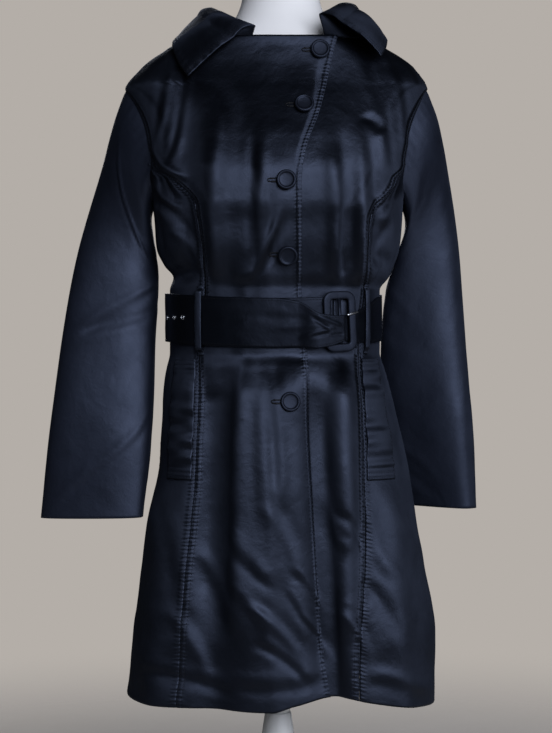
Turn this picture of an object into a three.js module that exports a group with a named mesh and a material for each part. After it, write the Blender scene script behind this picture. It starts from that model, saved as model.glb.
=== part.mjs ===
// A belted, knee-length coat of black sateen, buttoned with a slanting front edge, worn by a limbless dress
// form on a pole and a round foot. Millimetres, +Z up, the coat's front toward -Y, the wearer's left toward +X.
// The origin is the middle of the foot's underside.
import * as THREE from "three";

// Driving dimensions
const WALL = 1.5; // thickness of a cloth panel
const SEAM_GAP = 0.3; // between the edges of neighbouring pieces
const LAP = 3.4; // how far the top front stands off the under front
const LAP_BELTED = 2.1; // the same where the belt holds it down
const LAP_START = -15; // X of the under front's hidden edge
const LAP_RAMP = 22; // over which the top front rises to the lap
const HEM = 425; // height of the hem's plain level
const NECK = 1352; // height of the neck points on the shoulders
const ARMPIT = 1106; // height of the armhole's lowest point
const SHOULDER_TIP = 1272; // height of the armhole's highest point
const SQUARE = 2.35; // power of the level rings: 2 is an ellipse, and more is squarer
const BELT_HEIGHT = 67;
const BELT_WALL = 1.8;
const BELT_MIDDLE = 941; // height of the belt's middle at the front
const BELT_RISE = 9; // how much higher the belt lies at the sides and back
const BELT_LEVEL = 946; // height of the coat's ring that the belt follows
const BUTTON_ACROSS = 27;

const cloth = new THREE.MeshStandardMaterial({ color: "#14161d", roughness: 0.45, metalness: 0 });
const coveredButton = new THREE.MeshStandardMaterial({ color: "#1a1c24", roughness: 0.4, metalness: 0 });
const metal = new THREE.MeshStandardMaterial({ color: "#c4c6c8", roughness: 0.3, metalness: 1 });
const formCover = new THREE.MeshStandardMaterial({ color: "#e9e7e3", roughness: 0.8, metalness: 0 });
const standPaint = new THREE.MeshStandardMaterial({ color: "#efefec", roughness: 0.5, metalness: 0 });

// Small helpers
const clamp = (x, low, high) => Math.min(high, Math.max(low, x));
const lerp = (a, b, t) => a + (b - a) * t;
const radians = (degrees) => (degrees * Math.PI) / 180;

// Rises smoothly from 0 at a to 1 at b.
function ramp(a, b, x) {
  const t = clamp((x - a) / (b - a), 0, 1);
  return t * t * (3 - 2 * t);
}

// A bell of height 1 at the middle, with the given half width.
const bell = (x, halfWidth) => Math.exp(-((x / halfWidth) ** 2));

// Reads a column of a table whose rows go down or up in their key, smoothly and with no overshoot.
function read(table, key, column, at) {
  const rows = table[0][key] < table[table.length - 1][key] ? table : [...table].reverse();
  const last = rows.length - 1;
  if (at <= rows[0][key]) return rows[0][column];
  if (at >= rows[last][key]) return rows[last][column];
  const i = rows.findIndex((row) => row[key] > at) - 1;
  const [p, a, b, n] = [rows[Math.max(i - 1, 0)], rows[i], rows[i + 1], rows[Math.min(i + 2, last)]];
  const span = b[key] - a[key];
  const rise = (q, r) => (r[key] === q[key] ? 0 : (r[column] - q[column]) / (r[key] - q[key]));
  const meet = (q, r) => (q * r <= 0 ? 0 : (2 * q * r) / (q + r));
  const [before, here, after] = [rise(p, a), rise(a, b), rise(b, n)];
  const sa = (p === a ? here : meet(before, here)) * span;
  const sb = (n === b ? here : meet(here, after)) * span;
  const t = (at - a[key]) / span;
  const [t2, t3] = [t * t, t * t * t];
  return (
    a[column] * (2 * t3 - 3 * t2 + 1) + sa * (t3 - 2 * t2 + t) + b[column] * (3 * t2 - 2 * t3) + sb * (t3 - t2)
  );
}

// The coat's level rings: half width on the wearer's right and left, depth to the front and to the back.
const COAT = [
  { z: 425, right: 213, left: 221, front: 178, back: 172 },
  { z: 510, right: 204, left: 221, front: 172, back: 166 },
  { z: 607, right: 192, left: 206, front: 162, back: 158 },
  { z: 661, right: 185, left: 196, front: 156, back: 155 },
  { z: 745, right: 167, left: 183, front: 148, back: 150 },
  { z: 800, right: 164, left: 170, front: 141, back: 145 },
  { z: 847, right: 161, left: 158, front: 135, back: 140 },
  { z: 880, right: 157, left: 149, front: 124, back: 126 },
  { z: 900, right: 153, left: 144, front: 118, back: 115 },
  { z: 988, right: 153, left: 144, front: 118, back: 115 },
  { z: 1006, right: 147, left: 156, front: 123, back: 116 },
  { z: 1023, right: 160, left: 163, front: 127, back: 116 },
  { z: 1046, right: 171, left: 171, front: 133, back: 119 },
  { z: 1074, right: 174, left: 175, front: 138, back: 122 },
  { z: 1106, right: 177, left: 178, front: 144, back: 128 },
  { z: 1142, right: 188, left: 187, front: 142, back: 130 },
  { z: 1190, right: 199, left: 198, front: 129, back: 126 },
  { z: 1214, right: 203, left: 203, front: 119, back: 120 },
  { z: 1252, right: 212, left: 209, front: 102, back: 105 },
  { z: 1272, right: 217, left: 211, front: 93, back: 93 },
  { z: 1299, right: 197, left: 197, front: 84, back: 80 },
  { z: 1323, right: 166, left: 166, front: 79, back: 70 },
  { z: 1340, right: 128, left: 128, front: 76, back: 62 },
  { z: 1352, right: 90, left: 90, front: 73, back: 56 },
];

// The large folds: which face they lie on, where they run (x at the upper and lower end), their half width
// and how far they stand out (or in, when negative).
const FOLDS = [
  { face: -1, upper: 1290, xUpper: -112, lower: 1120, xLower: -78, wide: 16, out: 5 },
  { face: -1, upper: 1240, xUpper: -58, lower: 1005, xLower: -34, wide: 20, out: -5 },
  { face: -1, upper: 1180, xUpper: -84, lower: 1000, xLower: -84, wide: 15, out: 6 },
  { face: -1, upper: 1300, xUpper: 168, lower: 1150, xLower: 132, wide: 15, out: 5 },
  { face: -1, upper: 1180, xUpper: 82, lower: 1000, xLower: 80, wide: 12, out: 6 },
  { face: -1, upper: 1170, xUpper: 100, lower: 1000, xLower: 97, wide: 10, out: -4 },
  { face: -1, upper: 1120, xUpper: 118, lower: 1000, xLower: 116, wide: 12, out: 5 },
  { face: -1, upper: 895, xUpper: -70, lower: 470, xLower: -84, wide: 26, out: -10 },
  { face: -1, upper: 880, xUpper: -24, lower: 500, xLower: -30, wide: 26, out: 5 },
  { face: -1, upper: 895, xUpper: 86, lower: 640, xLower: 92, wide: 15, out: 8 },
  { face: -1, upper: 860, xUpper: 60, lower: 480, xLower: 82, wide: 13, out: -9 },
  { face: -1, upper: 720, xUpper: 150, lower: 430, xLower: 168, wide: 20, out: 8 },
  { face: -1, upper: 700, xUpper: -160, lower: 430, xLower: -165, wide: 20, out: 7 },
  { face: 1, upper: 895, xUpper: -90, lower: 430, xLower: -115, wide: 26, out: 9 },
  { face: 1, upper: 895, xUpper: -20, lower: 430, xLower: -30, wide: 26, out: -10 },
  { face: 1, upper: 895, xUpper: 55, lower: 430, xLower: 62, wide: 28, out: 9 },
  { face: 1, upper: 895, xUpper: 115, lower: 430, xLower: 150, wide: 24, out: -7 },
  { face: 1, upper: 1200, xUpper: -90, lower: 1000, xLower: -70, wide: 22, out: 6 },
  { face: 1, upper: 1210, xUpper: 95, lower: 1000, xLower: 80, wide: 22, out: 6 },
  { face: 1, upper: 1090, xUpper: 5, lower: 1000, xLower: 5, wide: 24, out: 6 },
];

// Where a fold begins and ends, its height fades over this stretch.
const FOLD_FADE = 60;

function foldOut(x, y, z) {
  let out = 0;
  for (const fold of FOLDS) {
    const facing = ramp(0, 60, fold.face * y);
    const t = clamp((fold.upper - z) / (fold.upper - fold.lower), 0, 1);
    const fade = ramp(fold.upper + FOLD_FADE / 3, fold.upper - FOLD_FADE, z);
    const foot = fold.lower < 500 ? 1 : ramp(fold.lower - FOLD_FADE / 3, fold.lower + FOLD_FADE, z);
    out += facing * fade * foot * fold.out * bell(x - lerp(fold.xUpper, fold.xLower, t), fold.wide);
  }
  // The belt holds the cloth flat.
  return out * (1 - ramp(1030, 990, z) * ramp(865, 898, z));
}

// The smooth ring at a height, without folds: the angle is 0 at the front and 90 at the wearer's left.
function ring(degrees, z) {
  const [s, c] = [Math.sin(radians(degrees)), Math.cos(radians(degrees))];
  const half = read(COAT, "z", s < 0 ? "right" : "left", z);
  const depth = read(COAT, "z", c > 0 ? "front" : "back", z);
  const reach = (Math.abs(s) ** SQUARE + Math.abs(c) ** SQUARE) ** (-1 / SQUARE);
  return [half * reach * s, -depth * reach * c];
}

// A point of the coat's surface, moved out along its normal; folds are part of the surface.
function bodyPoint(degrees, z, out = 0, folded = true) {
  const at = (d, h) => new THREE.Vector3(...ring(d, h), h);
  const here = at(degrees, z);
  const round = at(degrees + 1.5, z).sub(at(degrees - 1.5, z));
  const rise = at(degrees, z + 3).sub(at(degrees, z - 3));
  const normal = round.cross(rise).normalize();
  return here.addScaledVector(normal, out + (folded ? foldOut(here.x, here.y, z) : 0));
}

// The angle on the front at which the ring passes a given x.
function angleAt(x, z) {
  const half = read(COAT, "z", x < 0 ? "right" : "left", z);
  const s = clamp(Math.abs(x) / half, 0, 1);
  return (Math.sign(x) * Math.atan2(s, (1 - s ** SQUARE) ** (1 / SQUARE)) * 180) / Math.PI;
}

// Lines on the front, as x at a height
const FRONT_EDGE = [
  { z: 1338, x: 82 },
  { z: 1229, x: 57 },
  { z: 1170, x: 37 },
  { z: 1130, x: 31.5 },
  { z: 981, x: 31.6 },
  { z: 902, x: 39 },
  { z: 785, x: 46 },
  { z: 639, x: 55 },
  { z: 512, x: 63.5 },
  { z: 449, x: 70.6 },
];
const SEAM_RIGHT = [
  { z: 1160, x: -166 },
  { z: 1133, x: -142 },
  { z: 1099, x: -113 },
  { z: 986, x: -100 },
  { z: 915, x: -107 },
  { z: 845, x: -111 },
  { z: 714, x: -116 },
  { z: 584, x: -126 },
  { z: 438, x: -134 },
];
const SEAM_LEFT = [
  { z: 1160, x: 166 },
  { z: 1132, x: 158 },
  { z: 1080, x: 123 },
  { z: 989, x: 120 },
  { z: 902, x: 111 },
  { z: 815, x: 115 },
  { z: 645, x: 116 },
  { z: 507, x: 108 },
  { z: 438, x: 107 },
];
const SEAM_TOP = 1160; // where the seams meet the armholes

// How far the hem and the neck edge lie above their plain levels, by x on the front.
const HEM_FRONT = [
  { x: -213, up: 0 },
  { x: -90, up: 8 },
  { x: -8, up: 6 },
  { x: 20, up: 14 },
  { x: 72, up: 25 },
  { x: 120, up: 14 },
  { x: 170, up: 2 },
  { x: 221, up: -10 },
];
const NECK_FRONT_DROP = 17;
const NECK_BACK_DROP = 10;

function hemUp(degrees) {
  const [x, y] = ring(degrees, HEM);
  const front = read(HEM_FRONT, "x", "up", x);
  return y < 0 ? front : front * ramp(120, 0, y);
}

function neckDrop(degrees) {
  const c = Math.cos(radians(degrees));
  return c > 0 ? NECK_FRONT_DROP * ramp(0.05, 0.75, c) : NECK_BACK_DROP * ramp(0.05, 0.8, -c);
}

// A height of the plain rows, moved to follow the real hem and neck edge.
function levelled(degrees, z) {
  return z + hemUp(degrees) * ramp(HEM + 150, HEM, z) - neckDrop(degrees) * ramp(NECK - 70, NECK, z);
}

// Half the armhole's opening at a height, in degrees before or behind the side.
const ARMHOLE_FRONT = 29;
const ARMHOLE_BACK = 29;
function armholeHalf(z, widest) {
  const middle = (ARMPIT + SHOULDER_TIP) / 2;
  const t = clamp((z - middle) / (SHOULDER_TIP - middle), -1, 1);
  return widest * Math.sqrt(Math.max(0, 1 - Math.abs(t) ** 2.4));
}
const inArmhole = (z) => z > ARMPIT && z < SHOULDER_TIP;
const sideAngle = (z, widest) => 90 - (inArmhole(z) ? armholeHalf(z, widest) : 0);

// Plain row heights of the panels, closer where the armholes and the belt are.
const ROWS = [
  425, 450, 485, 525, 570, 615, 660, 705, 750, 795, 838, 872, 899, 989, 1006, 1034, 1070, 1106, 1112, 1122, 1140,
  1160, 1182, 1205, 1228, 1247, 1262, 1272, 1288, 1306, 1322, 1337, 1352,
];

// Makes a closed wall from two like grids of points, the first one outside. A round grid closes on itself.
function wall(outer, inner, roundGrid = false) {
  const [rows, columns] = [outer.length, outer[0].length];
  const points = [...outer.flat(), ...inner.flat()].flatMap((p) => [p.x, p.y, p.z]);
  const index = [];
  const quad = (a, b, c, d) => index.push(a, b, c, a, c, d);
  const id = (i, j, side) => side * rows * columns + i * columns + (j % columns);
  const steps = roundGrid ? columns : columns - 1;
  for (let i = 0; i < rows - 1; i++)
    for (let j = 0; j < steps; j++) {
      quad(id(i, j, 0), id(i, j + 1, 0), id(i + 1, j + 1, 0), id(i + 1, j, 0));
      quad(id(i, j, 1), id(i + 1, j, 1), id(i + 1, j + 1, 1), id(i, j + 1, 1));
    }
  for (let j = 0; j < steps; j++) {
    quad(id(0, j, 1), id(0, j + 1, 1), id(0, j + 1, 0), id(0, j, 0));
    quad(id(rows - 1, j, 0), id(rows - 1, j + 1, 0), id(rows - 1, j + 1, 1), id(rows - 1, j, 1));
  }
  for (let i = 0; i < rows - 1 && !roundGrid; i++) {
    quad(id(i, 0, 0), id(i + 1, 0, 0), id(i + 1, 0, 1), id(i, 0, 1));
    quad(id(i, columns - 1, 1), id(i + 1, columns - 1, 1), id(i + 1, columns - 1, 0), id(i, columns - 1, 0));
  }
  const geometry = new THREE.BufferGeometry();
  geometry.setAttribute("position", new THREE.Float32BufferAttribute(points, 3));
  geometry.setIndex(index);
  geometry.computeVertexNormals();
  return geometry;
}

const coat = new THREE.Group();
function piece(name, geometry, material) {
  const mesh = new THREE.Mesh(geometry, material);
  mesh.name = name;
  coat.add(mesh);
  return mesh;
}

// Degrees round the coat for a short length along it
const MEAN_RADIUS = 140;
const degreesOf = (length) => ((length / MEAN_RADIUS) * 180) / Math.PI;

// The angle of a line on the coat where a row, moved to its real height, crosses it.
function settled(line, row) {
  let degrees = line(row);
  for (let i = 0; i < 4; i++) degrees = line(levelled(degrees, row));
  return degrees;
}

// A panel of the coat's surface between two angles that depend on the height.
function panel(rows, columns, start, end, lift = () => 0) {
  const trim = degreesOf(SEAM_GAP / 2);
  const side = (depth) =>
    rows.map((row) =>
      Array.from({ length: columns + 1 }, (_, j) => {
        const degrees = lerp(settled(start, row) + trim, settled(end, row) - trim, j / columns);
        const z = levelled(degrees, row);
        return bodyPoint(degrees, z, lift(degrees, z) - depth);
      }),
    );
  return wall(side(0), side(WALL));
}

// The front panels, the side fronts and the back
const shoulderSide = (z) => (z < SEAM_TOP ? null : sideAngle(z, ARMHOLE_FRONT));
const rightSeam = (z) => (z < SEAM_TOP ? angleAt(read(SEAM_RIGHT, "z", "x", z), z) : -shoulderSide(z));
const leftSeam = (z) => (z < SEAM_TOP ? angleAt(read(SEAM_LEFT, "z", "x", z), z) : shoulderSide(z));
const frontEdge = (z) => angleAt(read(FRONT_EDGE, "z", "x", z), z);
const underEdge = (z) => angleAt(LAP_START, z);
const belted = (z) => ramp(1010, 990, z) * ramp(880, 898, z);
const lapOut = (z) => lerp(LAP, LAP_BELTED, belted(z));
const lapLift = (degrees, z) => lapOut(z) * ramp(LAP_START - LAP_RAMP, LAP_START - 6, ring(degrees, z)[0]);
const sideRows = ROWS.filter((z) => z < SEAM_TOP);

piece("front_right", panel(ROWS, 13, rightSeam, frontEdge, lapLift), cloth);
piece("front_left", panel(ROWS, 9, underEdge, leftSeam), cloth);
piece("side_front_right", panel(sideRows, 4, (z) => -sideAngle(z, ARMHOLE_FRONT), rightSeam), cloth);
piece("side_front_left", panel(sideRows, 4, leftSeam, (z) => sideAngle(z, ARMHOLE_FRONT)), cloth);
const backStart = (z) => 180 - sideAngle(z, ARMHOLE_BACK);
piece("back", panel(ROWS, 18, backStart, (z) => 360 - backStart(z)), cloth);

// The sleeves hang as flattened tubes: at each station the outer and the inner edge of the tube, and its half
// thickness. The first ring follows the armhole. x is counted away from the body's middle.
const SLEEVE_RIGHT = [
  { t: 0.06, ox: 228, oy: 2, oz: 1250, ix: 184, iy: 4, iz: 1090, half: 65 },
  { t: 0.18, ox: 247, oy: 10, oz: 1172, ix: 179, iy: 16, iz: 1066, half: 53 },
  { t: 0.32, ox: 270, oy: 14, oz: 1103, ix: 172, iy: 26, iz: 1034, half: 42 },
  { t: 0.48, ox: 292, oy: 10, oz: 1012, ix: 171, iy: 18, iz: 985, half: 38 },
  { t: 0.64, ox: 308, oy: -2, oz: 905, ix: 175, iy: -2, iz: 890, half: 35 },
  { t: 0.82, ox: 320, oy: -20, oz: 790, ix: 178, iy: -28, iz: 780, half: 32 },
  { t: 1, ox: 331, oy: -30, oz: 670, ix: 188, iy: -44, iz: 672, half: 24 },
];
const SLEEVE_LEFT = [
  { t: 0.06, ox: 224, oy: 2, oz: 1248, ix: 185, iy: 6, iz: 1092, half: 65 },
  { t: 0.18, ox: 239, oy: 12, oz: 1180, ix: 180, iy: 22, iz: 1066, half: 53 },
  { t: 0.32, ox: 252, oy: 20, oz: 1106, ix: 170, iy: 42, iz: 1034, half: 42 },
  { t: 0.48, ox: 260, oy: 18, oz: 1012, ix: 158, iy: 54, iz: 985, half: 37 },
  { t: 0.64, ox: 266, oy: 10, oz: 905, ix: 155, iy: 70, iz: 892, half: 33 },
  { t: 0.82, ox: 272, oy: 1, oz: 790, ix: 164, iy: 94, iz: 780, half: 29 },
  { t: 1, ox: 277, oy: 0, oz: 679, ix: 172, iy: 118, iz: 676, half: 23 },
];
const SLEEVE_STEPS = 18;
const SLEEVE_ROUND = 22;
const ARMHOLE_STEP = 1.9; // the sleeve starts this far outside the armhole's edge

// A point of the armhole's edge: turn 0 is the shoulder tip, 90 the front and 180 the armpit.
function armholePoint(sign, turn, depth) {
  const [c, s] = [Math.cos(radians(turn)), Math.sin(radians(turn))];
  const z = lerp(ARMPIT, SHOULDER_TIP, 0.5 + 0.5 * c);
  const widest = s > 0 ? ARMHOLE_FRONT : ARMHOLE_BACK;
  const fromSide = Math.sign(s) * armholeHalf(z, widest);
  return bodyPoint(sign * (90 - fromSide), z, -depth, false);
}

function sleevePoint(sign, table, t, turn, depth) {
  const value = (column) => read(table, "t", column, Math.max(t, table[0].t));
  const outer = new THREE.Vector3(value("ox"), value("oy"), value("oz"));
  const inner = new THREE.Vector3(value("ix"), value("iy"), value("iz"));
  const middle = outer.clone().add(inner).multiplyScalar(0.5);
  const across = outer.clone().sub(inner).multiplyScalar(0.5);
  const front = new THREE.Vector3(across.y, -Math.hypot(across.x, across.z), 0).normalize();
  const [c, s] = [Math.cos(radians(turn)), Math.sin(radians(turn))];
  const inward = across.clone().normalize();
  const thick = value("half") - depth;
  const hung = middle
    .addScaledVector(across, Math.sign(c) * Math.abs(c) ** 0.9)
    .addScaledVector(inward, -depth * c)
    .addScaledVector(front, thick * Math.sign(s) * Math.abs(s) ** 0.85);
  hung.x *= sign;
  if (t >= table[0].t) return hung;
  const start = armholePoint(sign, turn, depth);
  start.x += sign * ARMHOLE_STEP;
  return start.lerp(hung, t / table[0].t);
}

function sleeve(sign, table) {
  const stations = Array.from({ length: SLEEVE_STEPS + 1 }, (_, i) => (i / SLEEVE_STEPS) ** 1.15);
  const turns = Array.from({ length: SLEEVE_ROUND }, (_, j) => (sign * 360 * j) / SLEEVE_ROUND);
  const grid = (depth) => stations.map((t) => turns.map((turn) => sleevePoint(sign, table, t, turn, depth)));
  return wall(grid(0), grid(WALL), true);
}
piece("sleeve_right", sleeve(-1, SLEEVE_RIGHT), cloth);
piece("sleeve_left", sleeve(1, SLEEVE_LEFT), cloth);

// The collar, from its front end on the wearer's right round the back to its other end: at each turn round the
// neck (degrees from the front), the roll line and the leaf's free edge. Its seam follows the neck edge.
const COLLAR = [
  { u: 0, turn: -15, rx: -30, ry: -88, rz: 1347, ex: -124, ey: -93, ez: 1278 },
  { u: 0.07, turn: -33, rx: -50, ry: -78, rz: 1356, ex: -137, ey: -80, ez: 1298 },
  { u: 0.15, turn: -58, rx: -76, ry: -50, rz: 1373, ex: -148, ey: -46, ez: 1330 },
  { u: 0.25, turn: -90, rx: -94, ry: 0, rz: 1387, ex: -147, ey: 4, ez: 1341 },
  { u: 0.35, turn: -125, rx: -76, ry: 50, rz: 1387, ex: -118, ey: 86, ez: 1330 },
  { u: 0.5, turn: -180, rx: 2, ry: 70, rz: 1384, ex: 0, ey: 100, ez: 1316 },
  { u: 0.65, turn: -235, rx: 78, ry: 50, rz: 1389, ex: 118, ey: 86, ez: 1332 },
  { u: 0.75, turn: -270, rx: 95, ry: 0, rz: 1392, ex: 147, ey: 4, ez: 1344 },
  { u: 0.85, turn: -302, rx: 84, ry: -52, rz: 1384, ex: 152, ey: -52, ez: 1334 },
  { u: 0.93, turn: -322, rx: 66, ry: -76, rz: 1370, ex: 147, ey: -90, ez: 1315 },
  { u: 1, turn: -333, rx: 56, ry: -88, rz: 1362, ex: 140, ey: -110, ez: 1301 },
];
const COLLAR_ROUND = 28;
const COLLAR_ACROSS = 10;
const COLLAR_WALL = 2;
const COLLAR_INSET = 0.6; // from the panels' outer edge to the stand's outer face
const COLLAR_ROLL = 7; // how far the roll stands above the line between the stand and the leaf
const LEAF_BULGE = 3; // how far the leaf arches off a straight line

function collarPoint(u, v, depth) {
  const value = (column) => read(COLLAR, "u", column, u);
  const turn = value("turn");
  const top = levelled(turn, NECK);
  const lift = turn > -180 ? lapLift(turn, top) : 0;
  const neck = bodyPoint(turn, top, lift, false);
  neck.z += 1.6 * SEAM_GAP;
  const roll = new THREE.Vector3(value("rx"), value("ry"), value("rz"));
  const edge = new THREE.Vector3(value("ex"), value("ey"), value("ez"));
  const away = new THREE.Vector3(edge.x - neck.x, edge.y - neck.y, 0).normalize();
  neck.addScaledVector(away, -COLLAR_INSET - COLLAR_WALL);
  const up = new THREE.Vector3(0, 0, 1);
  const fold = 0.36;
  const out = roll.clone().addScaledVector(away, COLLAR_ROLL);
  if (v < fold) {
    const t = v / fold;
    return neck.lerp(roll, t).addScaledVector(away, depth);
  }
  const t = (v - fold) / (1 - fold);
  const fall = edge.clone().sub(out);
  const leafNormal = up.clone().addScaledVector(fall, -up.dot(fall) / fall.lengthSq()).normalize();
  const tipped = ramp(0, 0.2, t);
  const point = roll.clone().lerp(out, ramp(0, 0.16, t)).addScaledVector(fall, Math.max(0, t - 0.06) / 0.94);
  const arch = LEAF_BULGE * Math.sin(Math.PI * t) + COLLAR_ROLL * 0.5 * Math.sin(Math.PI * clamp(t / 0.3, 0, 1));
  point.addScaledVector(leafNormal, arch);
  const back = away.clone().multiplyScalar(1 - tipped).addScaledVector(leafNormal, -tipped).normalize();
  return point.addScaledVector(back, depth);
}

function collar() {
  const us = Array.from({ length: COLLAR_ROUND + 1 }, (_, i) => i / COLLAR_ROUND);
  const vs = Array.from({ length: COLLAR_ACROSS + 1 }, (_, j) => j / COLLAR_ACROSS);
  const grid = (depth) => vs.map((v) => us.map((u) => collarPoint(u, v, depth)));
  return wall(grid(0), grid(COLLAR_WALL));
}
piece("collar", collar(), cloth);

// The belt is one strip that starts at the buckle's centre bar, goes round by the wearer's right and the back,
// passes under the buckle's right bar, over the centre and left bars, and lies on itself as the tail.
// turn: degrees from the front, falling as the strip runs; out: its inner face off the coat; half: half height.
const BELT = [
  { turn: 29.5, out: 2.6, half: 33.5, drop: 0 },
  { turn: -30, out: 2.6, half: 33.5, drop: 0 },
  { turn: -250, out: 1.4, half: 33.5, drop: 0 },
  { turn: -292, out: 1.4, half: 31, drop: 2 },
  { turn: -308, out: 1.8, half: 25, drop: 7 },
  { turn: -323.9, out: 2.2, half: 17.5, drop: 10 },
  { turn: -325.8, out: 10.6, half: 17.5, drop: 10 },
  { turn: -329, out: 11.2, half: 18.5, drop: 11 },
  { turn: -333, out: 12.2, half: 20.5, drop: 12 },
  { turn: -339, out: 13.4, half: 23.5, drop: 11.5 },
  { turn: -350, out: 6.4, half: 31, drop: 2 },
  { turn: -362, out: 5.2, half: 33.5, drop: 0 },
  { turn: -441, out: 5.2, half: 33.5, drop: 0 },
];
const BELT_STEP = 6; // most degrees between its sections
const BELT_ACROSS = 2;

// The height of the belt's middle round the waist.
const beltHeight = (degrees) => BELT_MIDDLE + (BELT_RISE / 2) * (1 - Math.cos(2 * radians(degrees)));

function beltPoint(turn, v, out) {
  const half = read(BELT, "turn", "half", turn);
  const z = beltHeight(turn) - read(BELT, "turn", "drop", turn) + v * half;
  const flat = bodyPoint(turn, BELT_LEVEL, read(BELT, "turn", "out", turn) + out, false);
  flat.z = z;
  return flat;
}

function belt() {
  const turns = BELT.slice(1).flatMap((row, i) => {
    const steps = Math.ceil((BELT[i].turn - row.turn) / BELT_STEP);
    return Array.from({ length: steps }, (_, k) => lerp(BELT[i].turn, row.turn, k / steps));
  });
  turns.push(BELT[BELT.length - 1].turn);
  const vs = Array.from({ length: BELT_ACROSS + 1 }, (_, j) => lerp(-1, 1, j / BELT_ACROSS));
  const grid = (out) => turns.map((turn) => vs.map((v) => beltPoint(turn, v, out)));
  return wall(grid(BELT_WALL), grid(0));
}
piece("belt", belt(), cloth);

// The belt loops: strips from the coat above the belt, over it, to the coat below.
const LOOP_WIDTH = 9;
function beltLoop(x, cover) {
  const middle = angleAt(x, BELT_LEVEL);
  const half = degreesOf(LOOP_WIDTH / 2);
  const reach = BELT_HEIGHT / 2 + 5;
  const path = [
    { up: reach + 9, out: 1 },
    { up: reach + 5, out: 1.2 },
    { up: reach, out: cover },
    { up: 0, out: cover + 0.6 },
    { up: -reach, out: cover },
    { up: -reach - 5, out: 1.2 },
    { up: -reach - 9, out: 1 },
  ];
  const grid = (out) =>
    path.map((row) =>
      [1, -1].map((side) => {
        const z = beltHeight(middle) + row.up;
        const anchored = Math.abs(row.up) > reach + 1;
        const spot = bodyPoint(middle + side * half, anchored ? z : BELT_LEVEL, row.out + out, anchored);
        spot.z = z;
        return spot;
      }),
    );
  return wall(grid(1.2), grid(0));
}
piece("belt_loop_right", beltLoop(-104, 7.8), cloth);
piece("belt_loop_left", beltLoop(119, 4.2), cloth);

// The covered buckle: a rounded frame with a centre bar, bent to the waist.
const BUCKLE = { x: 81, width: 48, height: 82, bar: 11, thick: 5, out: 4.4, corner: 14, tilt: 3, centreBar: 5 };
function buckleFrame() {
  const rounded = (left, right, half, corner) => {
    const corners = [
      [right - corner, half - corner, 0],
      [left + corner, half - corner, 90],
      [left + corner, corner - half, 180],
      [right - corner, corner - half, 270],
    ];
    return corners.flatMap(([x, y, start]) =>
      [0, 22.5, 45, 67.5, 90].map((turn) => {
        const a = radians(start + turn);
        return new THREE.Vector2(x + corner * Math.cos(a), y + corner * Math.sin(a));
      }),
    );
  };
  const { width, height, bar, corner, centreBar } = BUCKLE;
  const shape = new THREE.Shape(rounded(-width / 2, width / 2, height / 2, corner));
  const windows = [
    [bar - width / 2, -centreBar / 2],
    [centreBar / 2, width / 2 - bar],
  ];
  windows.forEach(([left, right]) =>
    shape.holes.push(new THREE.Path(rounded(left, right, height / 2 - bar, 3))),
  );
  const flat = new THREE.ExtrudeGeometry(shape, { depth: BUCKLE.thick, bevelEnabled: false });
  return flat.rotateX(Math.PI / 2);
}

// Stands a flat piece, drawn with its face toward -Y, on the coat at x and z, turned to the surface there.
function seat(mesh, x, z, out, tilt = 0, folded = true) {
  const degrees = angleAt(x, z);
  const spot = bodyPoint(degrees, z, out, folded);
  const wide = bodyPoint(degrees + 4, z, out, folded).sub(bodyPoint(degrees - 4, z, out, folded));
  const rise = bodyPoint(degrees, z + 10, out, folded).sub(bodyPoint(degrees, z - 10, out, folded)).normalize();
  const normal = wide.cross(rise).normalize();
  const side = rise.clone().cross(normal).normalize();
  const up = normal.clone().cross(side).normalize();
  mesh.applyMatrix4(new THREE.Matrix4().makeRotationY(radians(tilt)));
  mesh.applyMatrix4(new THREE.Matrix4().makeBasis(side, normal.clone().negate(), up));
  mesh.position.add(spot);
}
const buckle = piece("buckle_frame", buckleFrame(), coveredButton);
seat(buckle, BUCKLE.x, BELT_MIDDLE + 2, BUCKLE.out, BUCKLE.tilt, false);

// The buckle's prong lies across the opening onto the right bar.
const prong = piece("buckle_prong", new THREE.CapsuleGeometry(1.6, 15, 3, 8).rotateZ(Math.PI / 2), metal);
seat(prong, 94, BELT_MIDDLE + 13, BUCKLE.out + BUCKLE.thick + 3.6, 14, false);

// The covered buttons down the lapped edge, on short shanks.
const BUTTONS = [
  { x: 57, z: 1314 },
  { x: 35, z: 1234 },
  { x: 11, z: 1130 },
  { x: 13, z: 1032 },
  { x: 16, z: 835 },
];
const BUTTON_PROFILE = [
  { r: 0, y: 0 },
  { r: 4.5, y: 0 },
  { r: 4.5, y: 1.8 },
  { r: BUTTON_ACROSS / 2 - 1, y: 2.2 },
  { r: BUTTON_ACROSS / 2, y: 3.8 },
  { r: BUTTON_ACROSS / 2 - 1, y: 5.6 },
  { r: BUTTON_ACROSS / 2 - 3.4, y: 5.9 },
  { r: BUTTON_ACROSS / 2 - 4.6, y: 4.8 },
  { r: 0, y: 4.2 },
];
BUTTONS.forEach(({ x, z }, i) => {
  const profile = BUTTON_PROFILE.map((p) => new THREE.Vector2(p.r, p.y));
  const turned = new THREE.LatheGeometry(profile, 18).rotateX(Math.PI);
  seat(piece("button_" + (i + 1), turned, coveredButton), x, z, LAP + 0.4);
});

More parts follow.
